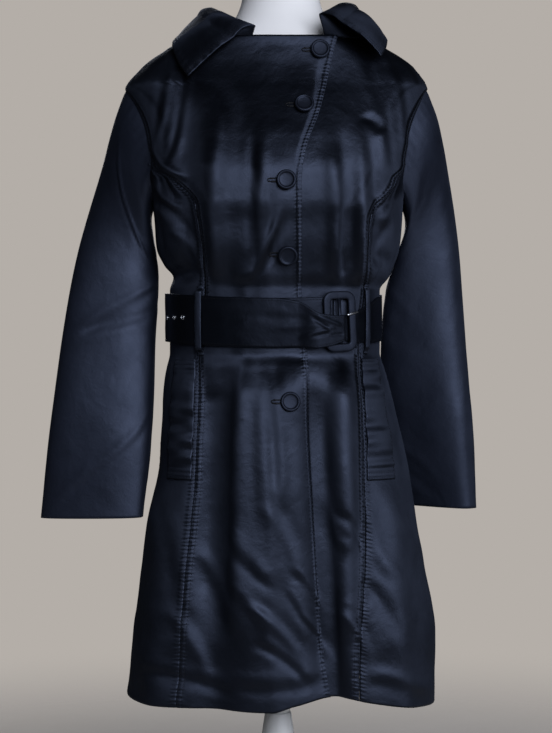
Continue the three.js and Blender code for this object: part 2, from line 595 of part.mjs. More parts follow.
// The pocket welts: patches on the side fronts beside the seams, their free edge toward the side.
const WELT = { fromSeam: 3, width: 40, top: 892, bottom: 730, out: 1.1, wall: 2 };
function pocketWelt(side, seamTable) {
  const rows = Array.from({ length: 9 }, (_, i) => lerp(WELT.bottom, WELT.top, i / 8));
  const grid = (out) =>
    rows.map((z) => {
      const start = angleAt(read(seamTable, "z", "x", z), z);
      const along = Array.from({ length: 4 }, (_, j) => degreesOf(WELT.fromSeam + (WELT.width * j) / 3));
      const points = along.map((d) => bodyPoint(start + side * d, z, WELT.out + out));
      return side > 0 ? points : points.reverse();
    });
  return wall(grid(WELT.wall), grid(0));
}
piece("pocket_welt_right", pocketWelt(-1, SEAM_RIGHT), cloth);
piece("pocket_welt_left", pocketWelt(1, SEAM_LEFT), cloth);

// Three metal eyelets in the belt's tail
const EYELETS = [-125, -137, -147];
EYELETS.forEach((x, i) => {
  const ringlet = new THREE.TorusGeometry(2.6, 0.8, 5, 10).rotateX(Math.PI / 2);
  const mesh = piece("eyelet_" + (i + 1), ringlet, metal);
  seat(mesh, x, BELT_MIDDLE + 8, 5.2 + BELT_WALL + 1.1, 0, false);
});

// The dress form: a plain figure inside the coat, which it carries on its shoulders.
const SHOULDER_REST = WALL + 0.6; // from the coat's surface to the form's shoulder, square to the slope
function shoulderHalf(z) {
  const [low, high] = [read(COAT, "z", "right", z - 2), read(COAT, "z", "right", z + 2)];
  const slope = Math.atan2(4, low - high);
  return read(COAT, "z", "right", z) - SHOULDER_REST / Math.sin(slope);
}
const FORM = [
  { z: 730, half: 148, front: 98, back: 100, x: 0 },
  { z: 790, half: 148, front: 104, back: 108, x: 0 },
  { z: 860, half: 136, front: 98, back: 102, x: 0 },
  { z: 945, half: 118, front: 88, back: 86, x: 0 },
  { z: 1020, half: 128, front: 98, back: 90, x: 0 },
  { z: 1110, half: 148, front: 116, back: 100, x: 0 },
  { z: 1180, half: 158, front: 106, back: 102, x: 0 },
  { z: 1240, half: 168, front: 80, back: 86, x: 0 },
  { z: 1284, half: 168, front: 64, back: 64, x: 0 },
  { z: 1306, half: 160, front: 58, back: 58, x: 0 },
  { z: 1322, half: shoulderHalf(1322), front: 56, back: 54, x: 0 },
  { z: 1337, half: shoulderHalf(1337), front: 54, back: 50, x: 0 },
  { z: 1350, half: 86, front: 53, back: 46, x: 2 },
  { z: 1371, half: 66, front: 52, back: 44, x: 4 },
  { z: 1401, half: 55, front: 50, back: 42, x: 4 },
  { z: 1428, half: 53, front: 49, back: 42, x: 4 },
  { z: 1437, half: 48, front: 44, back: 38, x: 4 },
  { z: 1441, half: 34, front: 31, back: 27, x: 4 },
];
const FORM_ROUND = 28;
function dressForm() {
  const points = [];
  FORM.forEach((row) => {
    for (let j = 0; j < FORM_ROUND; j++) {
      const a = (2 * Math.PI * j) / FORM_ROUND;
      const depth = Math.cos(a) > 0 ? row.front : row.back;
      points.push(row.x + row.half * Math.sin(a), -depth * Math.cos(a), row.z);
    }
  });
  const top = FORM[FORM.length - 1];
  points.push(0, 0, FORM[0].z, top.x, 0, top.z + 0.5);
  const [bottomId, topId] = [FORM.length * FORM_ROUND, FORM.length * FORM_ROUND + 1];
  const index = [];
  for (let j = 0; j < FORM_ROUND; j++) {
    const n = (j + 1) % FORM_ROUND;
    for (let i = 0; i < FORM.length - 1; i++) {
      const [a, b] = [i * FORM_ROUND + j, i * FORM_ROUND + n];
      index.push(a, b, b + FORM_ROUND, a, b + FORM_ROUND, a + FORM_ROUND);
    }
    index.push(bottomId, n, j);
    index.push(topId, (FORM.length - 1) * FORM_ROUND + j, (FORM.length - 1) * FORM_ROUND + n);
  }
  const geometry = new THREE.BufferGeometry();
  geometry.setAttribute("position", new THREE.Float32BufferAttribute(points, 3));
  geometry.setIndex(index);
  geometry.computeVertexNormals();
  return geometry;
}
piece("dress_form", dressForm(), formCover);

// The pole and its trumpet foot
const FOOT_TOP = 392;
const FOOT = [
  { r: 0, z: 0 },
  { r: 180, z: 0 },
  { r: 180, z: 8 },
  { r: 150, z: 15 },
  { r: 105, z: 32 },
  { r: 72, z: 75 },
  { r: 54, z: 140 },
  { r: 42, z: 230 },
  { r: 30, z: 315 },
  { r: 22.5, z: 362 },
  { r: 18, z: FOOT_TOP },
  { r: 0, z: FOOT_TOP },
];
const POLE_RADIUS = 17;
const footProfile = FOOT.map((p) => new THREE.Vector2(p.r, p.z));
piece("stand_foot", new THREE.LatheGeometry(footProfile, 32).rotateX(Math.PI / 2), standPaint);
const poleLength = FORM[0].z - FOOT_TOP - 2 * SEAM_GAP;
const pole = piece("stand_pole", new THREE.CylinderGeometry(POLE_RADIUS, POLE_RADIUS, poleLength, 20), standPaint);
pole.rotation.x = Math.PI / 2;
pole.position.z = FOOT_TOP + SEAM_GAP + poleLength / 2;

export default coat;
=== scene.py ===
# %% [markdown]
# # A belted coat of black sateen on a dress form
# The solid model is the frame: it gives every piece its place and its size. Here each piece of cloth is made
# again as a thin shell with the folds, puckers and stitching that a worn sateen coat shows. Lengths are in
# millimetres in the tables and in metres in the scene.

# %% The frame and a few measures
import math
import bmesh
import bpy
import numpy as np
from mathutils import Matrix, Vector


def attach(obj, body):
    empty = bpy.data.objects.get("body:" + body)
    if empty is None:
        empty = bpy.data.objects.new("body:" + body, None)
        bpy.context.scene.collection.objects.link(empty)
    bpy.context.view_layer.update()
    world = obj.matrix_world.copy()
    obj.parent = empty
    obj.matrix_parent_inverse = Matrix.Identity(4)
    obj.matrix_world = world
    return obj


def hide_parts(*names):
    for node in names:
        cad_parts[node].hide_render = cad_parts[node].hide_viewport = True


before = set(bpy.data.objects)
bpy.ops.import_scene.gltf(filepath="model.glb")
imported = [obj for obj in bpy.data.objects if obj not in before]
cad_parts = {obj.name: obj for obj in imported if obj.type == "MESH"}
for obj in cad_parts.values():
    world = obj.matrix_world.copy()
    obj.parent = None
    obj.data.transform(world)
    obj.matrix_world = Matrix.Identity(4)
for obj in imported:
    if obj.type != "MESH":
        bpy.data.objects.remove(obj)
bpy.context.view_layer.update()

MM = 0.001
PHOTO_WIDTH, PHOTO_HEIGHT = 552, 733
print("frame nodes:", len(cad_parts))

# %% [markdown]
# ## Camera
# The photo was taken from about 2.2 m away at belt height. One pixel is 1.42 mm at the coat's middle plane, so
# the lens follows from the two. The picture's level line lies a little above its middle, which a small shift
# gives without tilting the camera.

# %% The camera
CAMERA_AWAY = 2.2
MM_PER_PIXEL = 1.42
LEVEL_ROW, MIDDLE_COLUMN = 340, 278
CAMERA_HEIGHT = 0.918
camera_data = bpy.data.cameras.new("camera")
camera_data.sensor_fit = "VERTICAL"
camera_data.sensor_height = 24
camera_data.lens = 24 * (CAMERA_AWAY / MM / MM_PER_PIXEL) / PHOTO_HEIGHT
camera_data.shift_x = (PHOTO_WIDTH / 2 - MIDDLE_COLUMN) / PHOTO_HEIGHT
camera_data.shift_y = (LEVEL_ROW - PHOTO_HEIGHT / 2) / PHOTO_HEIGHT
camera = bpy.data.objects.new("camera", camera_data)
camera.location = (0, -CAMERA_AWAY, CAMERA_HEIGHT)
camera.rotation_euler = (math.radians(90), 0, 0)
bpy.context.collection.objects.link(camera)
bpy.context.scene.camera = camera
print("lens", round(camera_data.lens, 1), "mm")

# %% [markdown]
# ## Colours and nodes
# Colours are written as the eye sees them on a screen and turned to linear light by one function. One helper
# adds a shader node with its settings and its links.

# %% Colour and node helpers
def linear(hex_colour):
    """An sRGB hex colour as linear light, with alpha 1."""
    parts = [int(hex_colour[i:i + 2], 16) / 255 for i in (1, 3, 5)]
    return [c / 12.92 if c <= 0.04045 else ((c + 0.055) / 1.055) ** 2.4 for c in parts] + [1]


def add_node(tree, kind, links=None, **settings):
    """Adds a node; settings name its properties or input sockets, links name sockets and what feeds them."""
    node = tree.nodes.new(kind)
    for name, value in settings.items():
        if name in node.bl_rna.properties:
            setattr(node, name, value)
        else:
            node.inputs[name.replace("_", " ")].default_value = value
    for name, source in (links or {}).items():
        tree.links.new(source, node.inputs[name])
    return node


def new_material(name):
    """A material with an empty tree, and its Principled shader wired to the output."""
    material = bpy.data.materials.new(name)
    material.use_nodes = True
    tree = material.node_tree
    tree.nodes.clear()
    shader = add_node(tree, "ShaderNodeBsdfPrincipled")
    add_node(tree, "ShaderNodeOutputMaterial", {"Surface": shader.outputs[0]})
    return material, tree, shader


# %% [markdown]
# ## Black cotton sateen
# Sateen is woven with long floats, which lie flat and catch the light as a soft sheen, so it is dark where it
# faces away from a light and blue-grey where it faces one. Its threads are 0.3 mm apart, too fine for this
# picture, so the ribs are drawn 1.1 mm apart. A cloudy change of gloss stands for handling and pressing, a fine
# rumple and sharper creases for wear, and waves square to a seam for the cloth that its thread draws in.

# %% The sateen
RIB_MM = 1.1
CLOUD_MM = 55
RUMPLE_MM = 14
CREASE_MM = 38
PUCKER_MM = 5.2
WANDER, WANDER_MM = 0.006, 16
PUCKER_NEAR_MM, PUCKER_FAR_MM = 5, 13
# A straight wave texture of scale 1 repeats after 0.314 m, and a diagonal one after twice that.
BAND_REPEAT = 0.314
SHEEN_COLOUR, GLEAM_COLOUR = "#8f9bb8", "#c2d2f8"


def make_sateen(name, deep, lit, roughness, gleam, stretch):
    """The cloth between two tones, with its roughness, its gleam and how far the floats draw the gleam out."""
    material, tree, shader = new_material(name)
    uv = add_node(tree, "ShaderNodeUVMap", uv_map="cloth")
    place = add_node(tree, "ShaderNodeTexCoord")
    cloud = add_node(tree, "ShaderNodeTexNoise", {"Vector": place.outputs["Object"]},
                     Scale=1 / (CLOUD_MM * MM), Detail=5.0, Roughness=0.6)
    colour = add_node(tree, "ShaderNodeMix", {"Factor": cloud.outputs["Fac"]}, data_type="RGBA")
    colour.inputs["A"].default_value = linear(deep)
    colour.inputs["B"].default_value = linear(lit)
    gloss = add_node(tree, "ShaderNodeMapRange", {"Value": cloud.outputs["Fac"]},
                     From_Min=0.3, From_Max=0.7, To_Min=roughness - 0.05, To_Max=roughness + 0.07)
    ribs = add_node(tree, "ShaderNodeTexWave", {"Vector": uv.outputs["UV"]},
                    wave_type="BANDS", bands_direction="DIAGONAL", Scale=2 * BAND_REPEAT / (RIB_MM * MM),
                    Distortion=0.6)
    rumple = add_node(tree, "ShaderNodeTexNoise", {"Vector": place.outputs["Object"]},
                      Scale=1 / (RUMPLE_MM * MM), Detail=4.0, Roughness=0.55, Distortion=0.4)
    fine = add_node(tree, "ShaderNodeBump", {"Height": ribs.outputs["Fac"]}, Strength=0.25, Distance=0.00006)
    soft = add_node(tree, "ShaderNodeBump",
                    {"Height": rumple.outputs["Fac"], "Normal": fine.outputs["Normal"]},
                    Strength=0.5, Distance=0.0011)
    sharp = add_node(tree, "ShaderNodeTexNoise", {"Vector": place.outputs["Object"]},
                     noise_type="RIDGED_MULTIFRACTAL", Scale=1 / (CREASE_MM * MM), Detail=3.0, Roughness=0.5,
                     Distortion=0.8)
    crushed = add_node(tree, "ShaderNodeBump",
                       {"Height": sharp.outputs["Fac"], "Normal": soft.outputs["Normal"]},
                       Strength=0.5, Distance=0.0012)
    seam = add_node(tree, "ShaderNodeUVMap", uv_map="seam")
    wander = add_node(tree, "ShaderNodeTexNoise", {"Vector": seam.outputs["UV"]},
                      Scale=1 / (WANDER_MM * MM), Detail=2.0)
    bent = add_node(tree, "ShaderNodeMix", {"A": seam.outputs["UV"], "B": wander.outputs["Color"]},
                    data_type="VECTOR", Factor=WANDER)
    drawn = add_node(tree, "ShaderNodeTexWave", {"Vector": bent.outputs["Result"]}, wave_type="BANDS",
                     bands_direction="Y", wave_profile="SIN", Scale=BAND_REPEAT / (PUCKER_MM * MM))
    axes = add_node(tree, "ShaderNodeSeparateXYZ", {"Vector": seam.outputs["UV"]})
    near = add_node(tree, "ShaderNodeMapRange", {"Value": axes.outputs["X"]}, interpolation_type="SMOOTHSTEP",
                    From_Min=PUCKER_FAR_MM * MM, From_Max=PUCKER_NEAR_MM * MM)
    pulled = add_node(tree, "ShaderNodeMath", operation="MULTIPLY")
    tree.links.new(drawn.outputs["Fac"], pulled.inputs[0])
    tree.links.new(near.outputs["Result"], pulled.inputs[1])
    puckered = add_node(tree, "ShaderNodeBump",
                        {"Height": pulled.outputs["Value"], "Normal": crushed.outputs["Normal"]},
                        Strength=0.4, Distance=0.0006)
    tree.links.new(colour.outputs["Result"], shader.inputs["Base Color"])
    tree.links.new(gloss.outputs["Result"], shader.inputs["Roughness"])
    tree.links.new(puckered.outputs["Normal"], shader.inputs["Normal"])
    floats = add_node(tree, "ShaderNodeTangent", direction_type="UV_MAP", uv_map="cloth")
    tree.links.new(floats.outputs["Tangent"], shader.inputs["Tangent"])
    shader.inputs["Specular IOR Level"].default_value = gleam
    shader.inputs["Specular Tint"].default_value = linear(GLEAM_COLOUR)
    shader.inputs["Anisotropic"].default_value = stretch
    shader.inputs["Sheen Weight"].default_value = 0.008
    shader.inputs["Sheen Roughness"].default_value = 0.4
    shader.inputs["Sheen Tint"].default_value = linear(SHEEN_COLOUR)
    return material


# The sleeves hang slack and their cloth is rougher, so it scatters more light; its base tones are also lighter
# than the body's, as painted light that brightens the sleeves where the lamps leave them dark. The belt is cut
# crosswise and shines less, and the cloth on the fittings is stretched tight.
sateen = make_sateen("woven_cotton_sateen", "#020203", "#030406", 0.51, 0.6, 0.75)
# Painted light: the sleeves' copy of the sateen has lighter base tones than the body's, to brighten them.
sleeve_sateen_painted_lighter = make_sateen("sateen_of_the_sleeves_painted_lighter", "#090b12", "#0d1019", 0.58, 0.8, 0.4)
crosswise = make_sateen("sateen_cut_crosswise", "#030406", "#06070a", 0.46, 0.24, 0.3)
covered = make_sateen("cloth_covered_fittings", "#06070b", "#0b0d13", 0.48, 0.36, 0)

# %% [markdown]
# ## Thread, metal and the form
# The stitching is polyester thread in the cloth's colour, and matt. The prong and the eyelets are
# nickel-plated steel. The form is covered in smooth white jersey, and its stand is satin white paint.

# %% The other materials
thread, thread_tree, thread_shader = new_material("polyester_thread")
thread_place = add_node(thread_tree, "ShaderNodeTexCoord")
thread_noise = add_node(thread_tree, "ShaderNodeTexNoise", {"Vector": thread_place.outputs["Object"]},
                        Scale=900.0)
thread_tone = add_node(thread_tree, "ShaderNodeMix", {"Factor": thread_noise.outputs["Fac"]},
                       data_type="RGBA")
thread_tone.inputs["A"].default_value = linear("#05060a")
thread_tone.inputs["B"].default_value = linear("#0a0b10")
thread_tree.links.new(thread_tone.outputs["Result"], thread_shader.inputs["Base Color"])
thread_shader.inputs["Roughness"].default_value = 0.6
thread_shader.inputs["Specular IOR Level"].default_value = 0.2

nickel, nickel_tree, nickel_shader = new_material("nickel_plated_steel")
nickel_place = add_node(nickel_tree, "ShaderNodeTexCoord")
nickel_noise = add_node(nickel_tree, "ShaderNodeTexNoise", {"Vector": nickel_place.outputs["Object"]},
                        Scale=400.0)
nickel_gloss = add_node(nickel_tree, "ShaderNodeMapRange", {"Value": nickel_noise.outputs["Fac"]},
                        To_Min=0.16, To_Max=0.3)
nickel_tree.links.new(nickel_gloss.outputs["Result"], nickel_shader.inputs["Roughness"])
nickel_shader.inputs["Base Color"].default_value = linear("#d6d8db")
nickel_shader.inputs["Metallic"].default_value = 1.0


def make_plain(name, low, high, roughness, grain_mm, depth):
    """A plain smooth finish with a slight change of tone and a fine grain."""
    material, tree, shader = new_material(name)
    place = add_node(tree, "ShaderNodeTexCoord")
    tone = add_node(tree, "ShaderNodeTexNoise", {"Vector": place.outputs["Object"]}, Scale=12.0, Detail=3.0)
    grain = add_node(tree, "ShaderNodeTexNoise", {"Vector": place.outputs["Object"]},
                     Scale=1 / (grain_mm * MM))
    colour = add_node(tree, "ShaderNodeMix", {"Factor": tone.outputs["Fac"]}, data_type="RGBA")
    colour.inputs["A"].default_value = linear(low)
    colour.inputs["B"].default_value = linear(high)
    bump = add_node(tree, "ShaderNodeBump", {"Height": grain.outputs["Fac"]}, Strength=0.3, Distance=depth)
    tree.links.new(colour.outputs["Result"], shader.inputs["Base Color"])
    tree.links.new(bump.outputs["Normal"], shader.inputs["Normal"])
    shader.inputs["Roughness"].default_value = roughness
    return material


jersey = make_plain("white_cotton_jersey", "#e4e2de", "#efedea", 0.85, 1.2, 0.0002)
white_paint = make_plain("satin_white_paint", "#e9e9e6", "#f1f1ee", 0.38, 3.0, 0.00005)
floor_paint = make_plain("pale_studio_paper", "#b9b3ab", "#c2bcb4", 0.9, 2.0, 0.0001)

# %% [markdown]
# ## Floor and light
# The floor is a pale round sheet of paper that fades into the room's even tone, so that no edge is seen from
# any side. The main light is a tall soft window behind the camera and to its right, with a dim sill below it
# and a bright wall on the right. Little comes from the left, so sateen shines where it stands upright or turns
# right, and goes dark where it slopes up, as on the chest, or turns left. A lamp behind lights the back.

# %% The stage
FLOOR_RADIUS, FADE_FROM = 2.6, 0.9
disc = bmesh.new()
bmesh.ops.create_circle(disc, cap_ends=True, segments=96, radius=FLOOR_RADIUS)
disc_mesh = bpy.data.meshes.new("paper_floor")
disc.to_mesh(disc_mesh)
disc.free()
floor_tree = floor_paint.node_tree
floor_place = add_node(floor_tree, "ShaderNodeTexCoord")
floor_far = add_node(floor_tree, "ShaderNodeVectorMath", {"Vector": floor_place.outputs["Object"]},
                     operation="LENGTH")
floor_fade = add_node(floor_tree, "ShaderNodeMapRange", {"Value": floor_far.outputs["Value"]},
                      interpolation_type="SMOOTHSTEP", From_Min=FADE_FROM, From_Max=FLOOR_RADIUS - 0.1,
                      To_Min=1.0, To_Max=0.0)
floor_shader = next(node for node in floor_tree.nodes if node.type == "BSDF_PRINCIPLED")
floor_tree.links.new(floor_fade.outputs["Result"], floor_shader.inputs["Alpha"])
disc_mesh.materials.append(floor_paint)
paper_floor = bpy.data.objects.new("paper_floor", disc_mesh)
bpy.context.collection.objects.link(paper_floor)

# %% The lights
def rows_of(columns, rows):
    """A table's rows as dictionaries, so that each value is read by its column's name."""
    names = columns.split()
    return [dict(zip(names, row)) for row in rows]


LAMP_COLOUR, ROOM_COLOUR, DIM_COLOUR = "#eaf0ff", "#b4aea8", "#d9e0ec"
LIGHTS = rows_of("name at look wide high power", [
    ("window_front", (1.05, -3.1, 2.3), (0, 0, 2.25), 2.1, 1.9, 112),
    ("sill_front", (0.9, -3.2, 0.8), (0, 0, 0.8), 1.6, 0.65, 1.5),
    ("wall_left", (-2.6, -1.6, 1.0), (0, 0, 0.9), 1.2, 2.0, 1.2),
    ("wall_right", (2.5, -2.3, 1.0), (0, 0, 0.9), 1.3, 2.0, 24),
    ("room_behind", (-0.4, 3.4, 2.3), (0, 0, 1.0), 2.2, 2.0, 42),
])
for row in LIGHTS:
    lamp = bpy.data.lights.new(row["name"], "AREA")
    lamp.shape = "RECTANGLE"
    lamp.size, lamp.size_y = row["wide"], row["high"]
    lamp.energy = row["power"]
    lamp.color = linear(LAMP_COLOUR)[:3]
    holder = bpy.data.objects.new(row["name"], lamp)
    holder.location = row["at"]
    toward = Vector(row["look"]) - Vector(row["at"])
    holder.rotation_euler = toward.to_track_quat("-Z", "Y").to_euler()
    holder.visible_camera = False
    bpy.context.collection.objects.link(holder)
world = bpy.data.worlds.new("room")
world.use_nodes = True
room = world.node_tree
room.nodes.clear()
seen = add_node(room, "ShaderNodeBackground", Color=linear(ROOM_COLOUR), Strength=1.0)
dim = add_node(room, "ShaderNodeBackground", Color=linear(DIM_COLOUR), Strength=0.025)
path = add_node(room, "ShaderNodeLightPath")
either = add_node(room, "ShaderNodeMixShader", {"Fac": path.outputs["Is Camera Ray"]})
room.links.new(dim.outputs[0], either.inputs[1])
room.links.new(seen.outputs[0], either.inputs[2])
add_node(room, "ShaderNodeOutputWorld", {"Surface": either.outputs[0]})
bpy.context.scene.world = world
bpy.context.scene.view_settings.view_transform = "Standard"
print("lights:", len(LIGHTS))

# %% [markdown]
# ## Reading the coat's tables
# The coat's shape is a stack of level rings, as a tailor's measures round the body are. A table gives their
# half widths and depths, and a smooth curve without overshoot runs through each column.

# %% Helpers for curves
def ramp(a, b, x):
    """Rises smoothly from 0 at a to 1 at b."""
    t = np.clip((x - a) / (b - a), 0, 1)
    return t * t * (3 - 2 * t)


def bell(x, half_width):
    """A smooth hump, 1 at its middle."""
    return np.exp(-((x / half_width) ** 2))


def read(table, key, column, at):
    """A table's column at a value of its key, smoothly between rows and with no overshoot."""
    rows = sorted(table, key=lambda row: row[key])
    xs = np.array([row[key] for row in rows], float)
    ys = np.array([row[column] for row in rows], float)
    rise = np.diff(ys) / np.diff(xs)
    slope = np.empty(len(xs))
    slope[0], slope[-1] = rise[0], rise[-1]
    before, after = rise[:-1], rise[1:]
    both = before * after
    total = np.where(both > 0, before + after, 1)
    slope[1:-1] = np.where(both > 0, 2 * both / total, 0)
    at = np.clip(np.asarray(at, float), xs[0], xs[-1])
    i = np.clip(np.searchsorted(xs, at, side="right") - 1, 0, len(xs) - 2)
    span = xs[i + 1] - xs[i]
    t = (at - xs[i]) / span
    t2, t3 = t * t, t * t * t
    return (ys[i] * (2 * t3 - 3 * t2 + 1) + slope[i] * span * (t3 - 2 * t2 + t)
            + ys[i + 1] * (3 * t2 - 2 * t3) + slope[i + 1] * span * (t3 - t2))


def lattice(x, y, seed):
    """Smooth random heights from -1 to 1, the same on every run."""
    xi, yi = np.floor(x), np.floor(y)
    fx, fy = x - xi, y - yi
    fx, fy = fx * fx * (3 - 2 * fx), fy * fy * (3 - 2 * fy)

    def corner_value(a, b):
        h = np.sin(a * 127.1 + b * 311.7 + seed * 74.7) * 43758.5453
        return 2 * (h - np.floor(h)) - 1

    low = corner_value(xi, yi) * (1 - fx) + corner_value(xi + 1, yi) * fx
    high = corner_value(xi, yi + 1) * (1 - fx) + corner_value(xi + 1, yi + 1) * fx
    return low * (1 - fy) + high * fy


# %% [markdown]
# ## The coat's form
# These are the frame's own sizes: rings from the hem to the neck, the large folds, the seams and the front
# edge. The finer creases come after them.

# %% Sizes of the coat
WALL = 1.5
SEAM_GAP = 0.3
LAP, LAP_BELTED = 3.4, 2.1
LAP_START, LAP_RAMP = -15, 95
HEM, NECK = 425, 1352
ARMPIT, SHOULDER_TIP = 1106, 1272
SQUARE = 2.35
MEAN_RADIUS = 140
COAT = rows_of("z right left front back", [
    (425, 213, 221, 178, 172),
    (510, 204, 221, 172, 166),
    (607, 192, 206, 162, 158),
    (661, 185, 196, 156, 155),
    (745, 167, 183, 148, 150),
    (800, 164, 170, 141, 145),
    (847, 161, 158, 135, 140),
    (880, 157, 149, 124, 126),
    (900, 153, 144, 118, 115),
    (988, 153, 144, 118, 115),
    (1006, 147, 156, 123, 116),
    (1023, 160, 163, 127, 116),
    (1046, 171, 171, 133, 119),
    (1074, 174, 175, 138, 122),
    (1106, 177, 178, 144, 128),
    (1142, 188, 187, 142, 130),
    (1190, 199, 198, 129, 126),
    (1214, 203, 203, 119, 120),
    (1252, 212, 209, 102, 105),
    (1272, 217, 211, 93, 93),
    (1299, 197, 197, 84, 80),
    (1323, 166, 166, 79, 70),
    (1340, 128, 128, 76, 62),
    (1352, 90, 90, 73, 56),
])
FOLDS = rows_of("face upper x_upper lower x_lower wide out", [
    (-1, 1290, -112, 1120, -78, 16, 5),
    (-1, 1240, -58, 1005, -34, 20, -5),
    (-1, 1180, -84, 1000, -84, 15, 6),
    (-1, 1300, 168, 1150, 132, 15, 5),
    (-1, 1180, 82, 1000, 80, 12, 6),
    (-1, 1170, 100, 1000, 97, 10, -4),
    (-1, 1120, 118, 1000, 116, 12, 5),
    (-1, 895, -70, 470, -84, 26, -10),
    (-1, 880, -24, 500, -30, 26, 5),
    (-1, 895, 86, 640, 92, 15, 8),
    (-1, 860, 60, 480, 82, 13, -9),
    (-1, 720, 150, 430, 168, 20, 8),
    (-1, 700, -160, 430, -165, 20, 7),
    (1, 895, -90, 430, -115, 26, 9),
    (1, 895, -20, 430, -30, 26, -10),
    (1, 895, 55, 430, 62, 28, 9),
    (1, 895, 115, 430, 150, 24, -7),
    (1, 1200, -90, 1000, -70, 22, 6),
    (1, 1210, 95, 1000, 80, 22, 6),
    (1, 1090, 5, 1000, 5, 24, 6),
])
FOLD_FADE = 60
FRONT_EDGE = rows_of("z x", [
    (1338, 82), (1229, 57), (1170, 37), (1130, 31.5), (981, 31.6), (902, 39), (785, 46), (639, 55),
    (512, 63.5), (449, 70.6),
])
SEAM_RIGHT = rows_of("z x", [
    (1160, -166), (1133, -142), (1099, -113), (986, -100), (915, -107), (845, -111), (714, -116),
    (584, -126), (438, -134),
])
SEAM_LEFT = rows_of("z x", [
    (1160, 166), (1132, 158), (1080, 123), (989, 120), (902, 111), (815, 115), (645, 116),
    (507, 108), (438, 107),
])
SEAM_TOP = 1160
HEM_FRONT = rows_of("x up", [
    (-213, 0), (-90, 8), (-8, 6), (20, 14), (72, 25), (120, 14), (170, 2), (221, -10),
])
NECK_FRONT_DROP, NECK_BACK_DROP = 17, 10
ARMHOLE_HALF, ARMHOLE_SQUARE = 29, 2.4


# %% The coat's surface
def fold_out(x, y, z):
    """How far the large folds stand out."""
    out = np.zeros_like(x)
    for fold in FOLDS:
        facing = ramp(0, 60, fold["face"] * y)
        t = np.clip((fold["upper"] - z) / (fold["upper"] - fold["lower"]), 0, 1)
        fade = ramp(fold["upper"] + FOLD_FADE / 3, fold["upper"] - FOLD_FADE, z)
        foot = 1 if fold["lower"] < 500 else ramp(fold["lower"] - FOLD_FADE / 3, fold["lower"] + FOLD_FADE, z)
        middle = fold["x_upper"] + (fold["x_lower"] - fold["x_upper"]) * t
        out += facing * fade * foot * fold["out"] * bell(x - middle, fold["wide"])
    return out * (1 - ramp(1030, 990, z) * ramp(865, 898, z))


def ring(degrees, z):
    """The plain ring at a height: 0 degrees is the front and 90 the wearer's left."""
    s, c = np.sin(np.radians(degrees)), np.cos(np.radians(degrees))
    half = np.where(s < 0, read(COAT, "z", "right", z), read(COAT, "z", "left", z))
    depth = np.where(c > 0, read(COAT, "z", "front", z), read(COAT, "z", "back", z))
    reach = (np.abs(s) ** SQUARE + np.abs(c) ** SQUARE) ** (-1 / SQUARE)
    return half * reach * s, -depth * reach * c


def body_normal(degrees, z):
    def at(d, h):
        x, y = ring(d, h)
        return np.stack([x, y, h + np.zeros_like(x)], -1)

    around = at(degrees + 1.5, z) - at(degrees - 1.5, z)
    rise = at(degrees, z + 3) - at(degrees, z - 3)
    normal = np.cross(around, rise)
    return normal / np.linalg.norm(normal, axis=-1, keepdims=True)


def body_point(degrees, z, out=0.0, folded=True):
    """A point of the coat's surface, moved out along its normal."""
    degrees, z = np.broadcast_arrays(np.asarray(degrees, float), np.asarray(z, float))
    x, y = ring(degrees, z)
    lift = out + (fold_out(x, y, z) if folded else 0)
    return np.stack([x, y, z], -1) + body_normal(degrees, z) * np.asarray(lift + 0 * x)[..., None]


def angle_at(x, z):
    """The angle on the front at which the ring passes a given x."""
    half = np.where(x < 0, read(COAT, "z", "right", z), read(COAT, "z", "left", z))
    s = np.clip(np.abs(x) / half, 0, 1)
    return np.degrees(np.sign(x) * np.arctan2(s, (1 - s ** SQUARE) ** (1 / SQUARE)))


def hem_up(degrees):
    x, y = ring(degrees, np.full_like(degrees, HEM))
    front = read(HEM_FRONT, "x", "up", x)
    return np.where(y < 0, front, front * ramp(120, 0, y))


def neck_drop(degrees):
    c = np.cos(np.radians(degrees))
    return np.where(c > 0, NECK_FRONT_DROP * ramp(0.05, 0.75, c), NECK_BACK_DROP * ramp(0.05, 0.8, -c))


def levelled(degrees, z):
    """A plain row's height, moved to follow the real hem and neck edge."""
    return z + hem_up(degrees) * ramp(HEM + 150, HEM, z) - neck_drop(degrees) * ramp(NECK - 70, NECK, z)


def armhole_half(z):
    middle = (ARMPIT + SHOULDER_TIP) / 2
    t = np.clip((z - middle) / (SHOULDER_TIP - middle), -1, 1)
    return ARMHOLE_HALF * np.sqrt(np.maximum(0, 1 - np.abs(t) ** ARMHOLE_SQUARE))


def side_angle(z):
    return 90 - np.where((z > ARMPIT) & (z < SHOULDER_TIP), armhole_half(z), 0)


def settled(line, row):
    """The angle of a line on the coat where a row, moved to its real height, crosses it."""
    degrees = line(row)
    for _ in range(4):
        degrees = line(levelled(degrees, row))
    return degrees


def front_edge(z):
    return angle_at(read(FRONT_EDGE, "z", "x", z), z)


def lap_lift(degrees, z):
    """How far the top front stands off the plain surface, so that it clears the under front."""
    belted = ramp(1010, 990, z) * ramp(880, 898, z)
    lap = LAP + (LAP_BELTED - LAP) * belted
    return lap * ramp(LAP_START - LAP_RAMP, LAP_START - 6, ring(degrees, z)[0])


print("coat's front at the belt:", np.round(body_point(0, 946), 1))
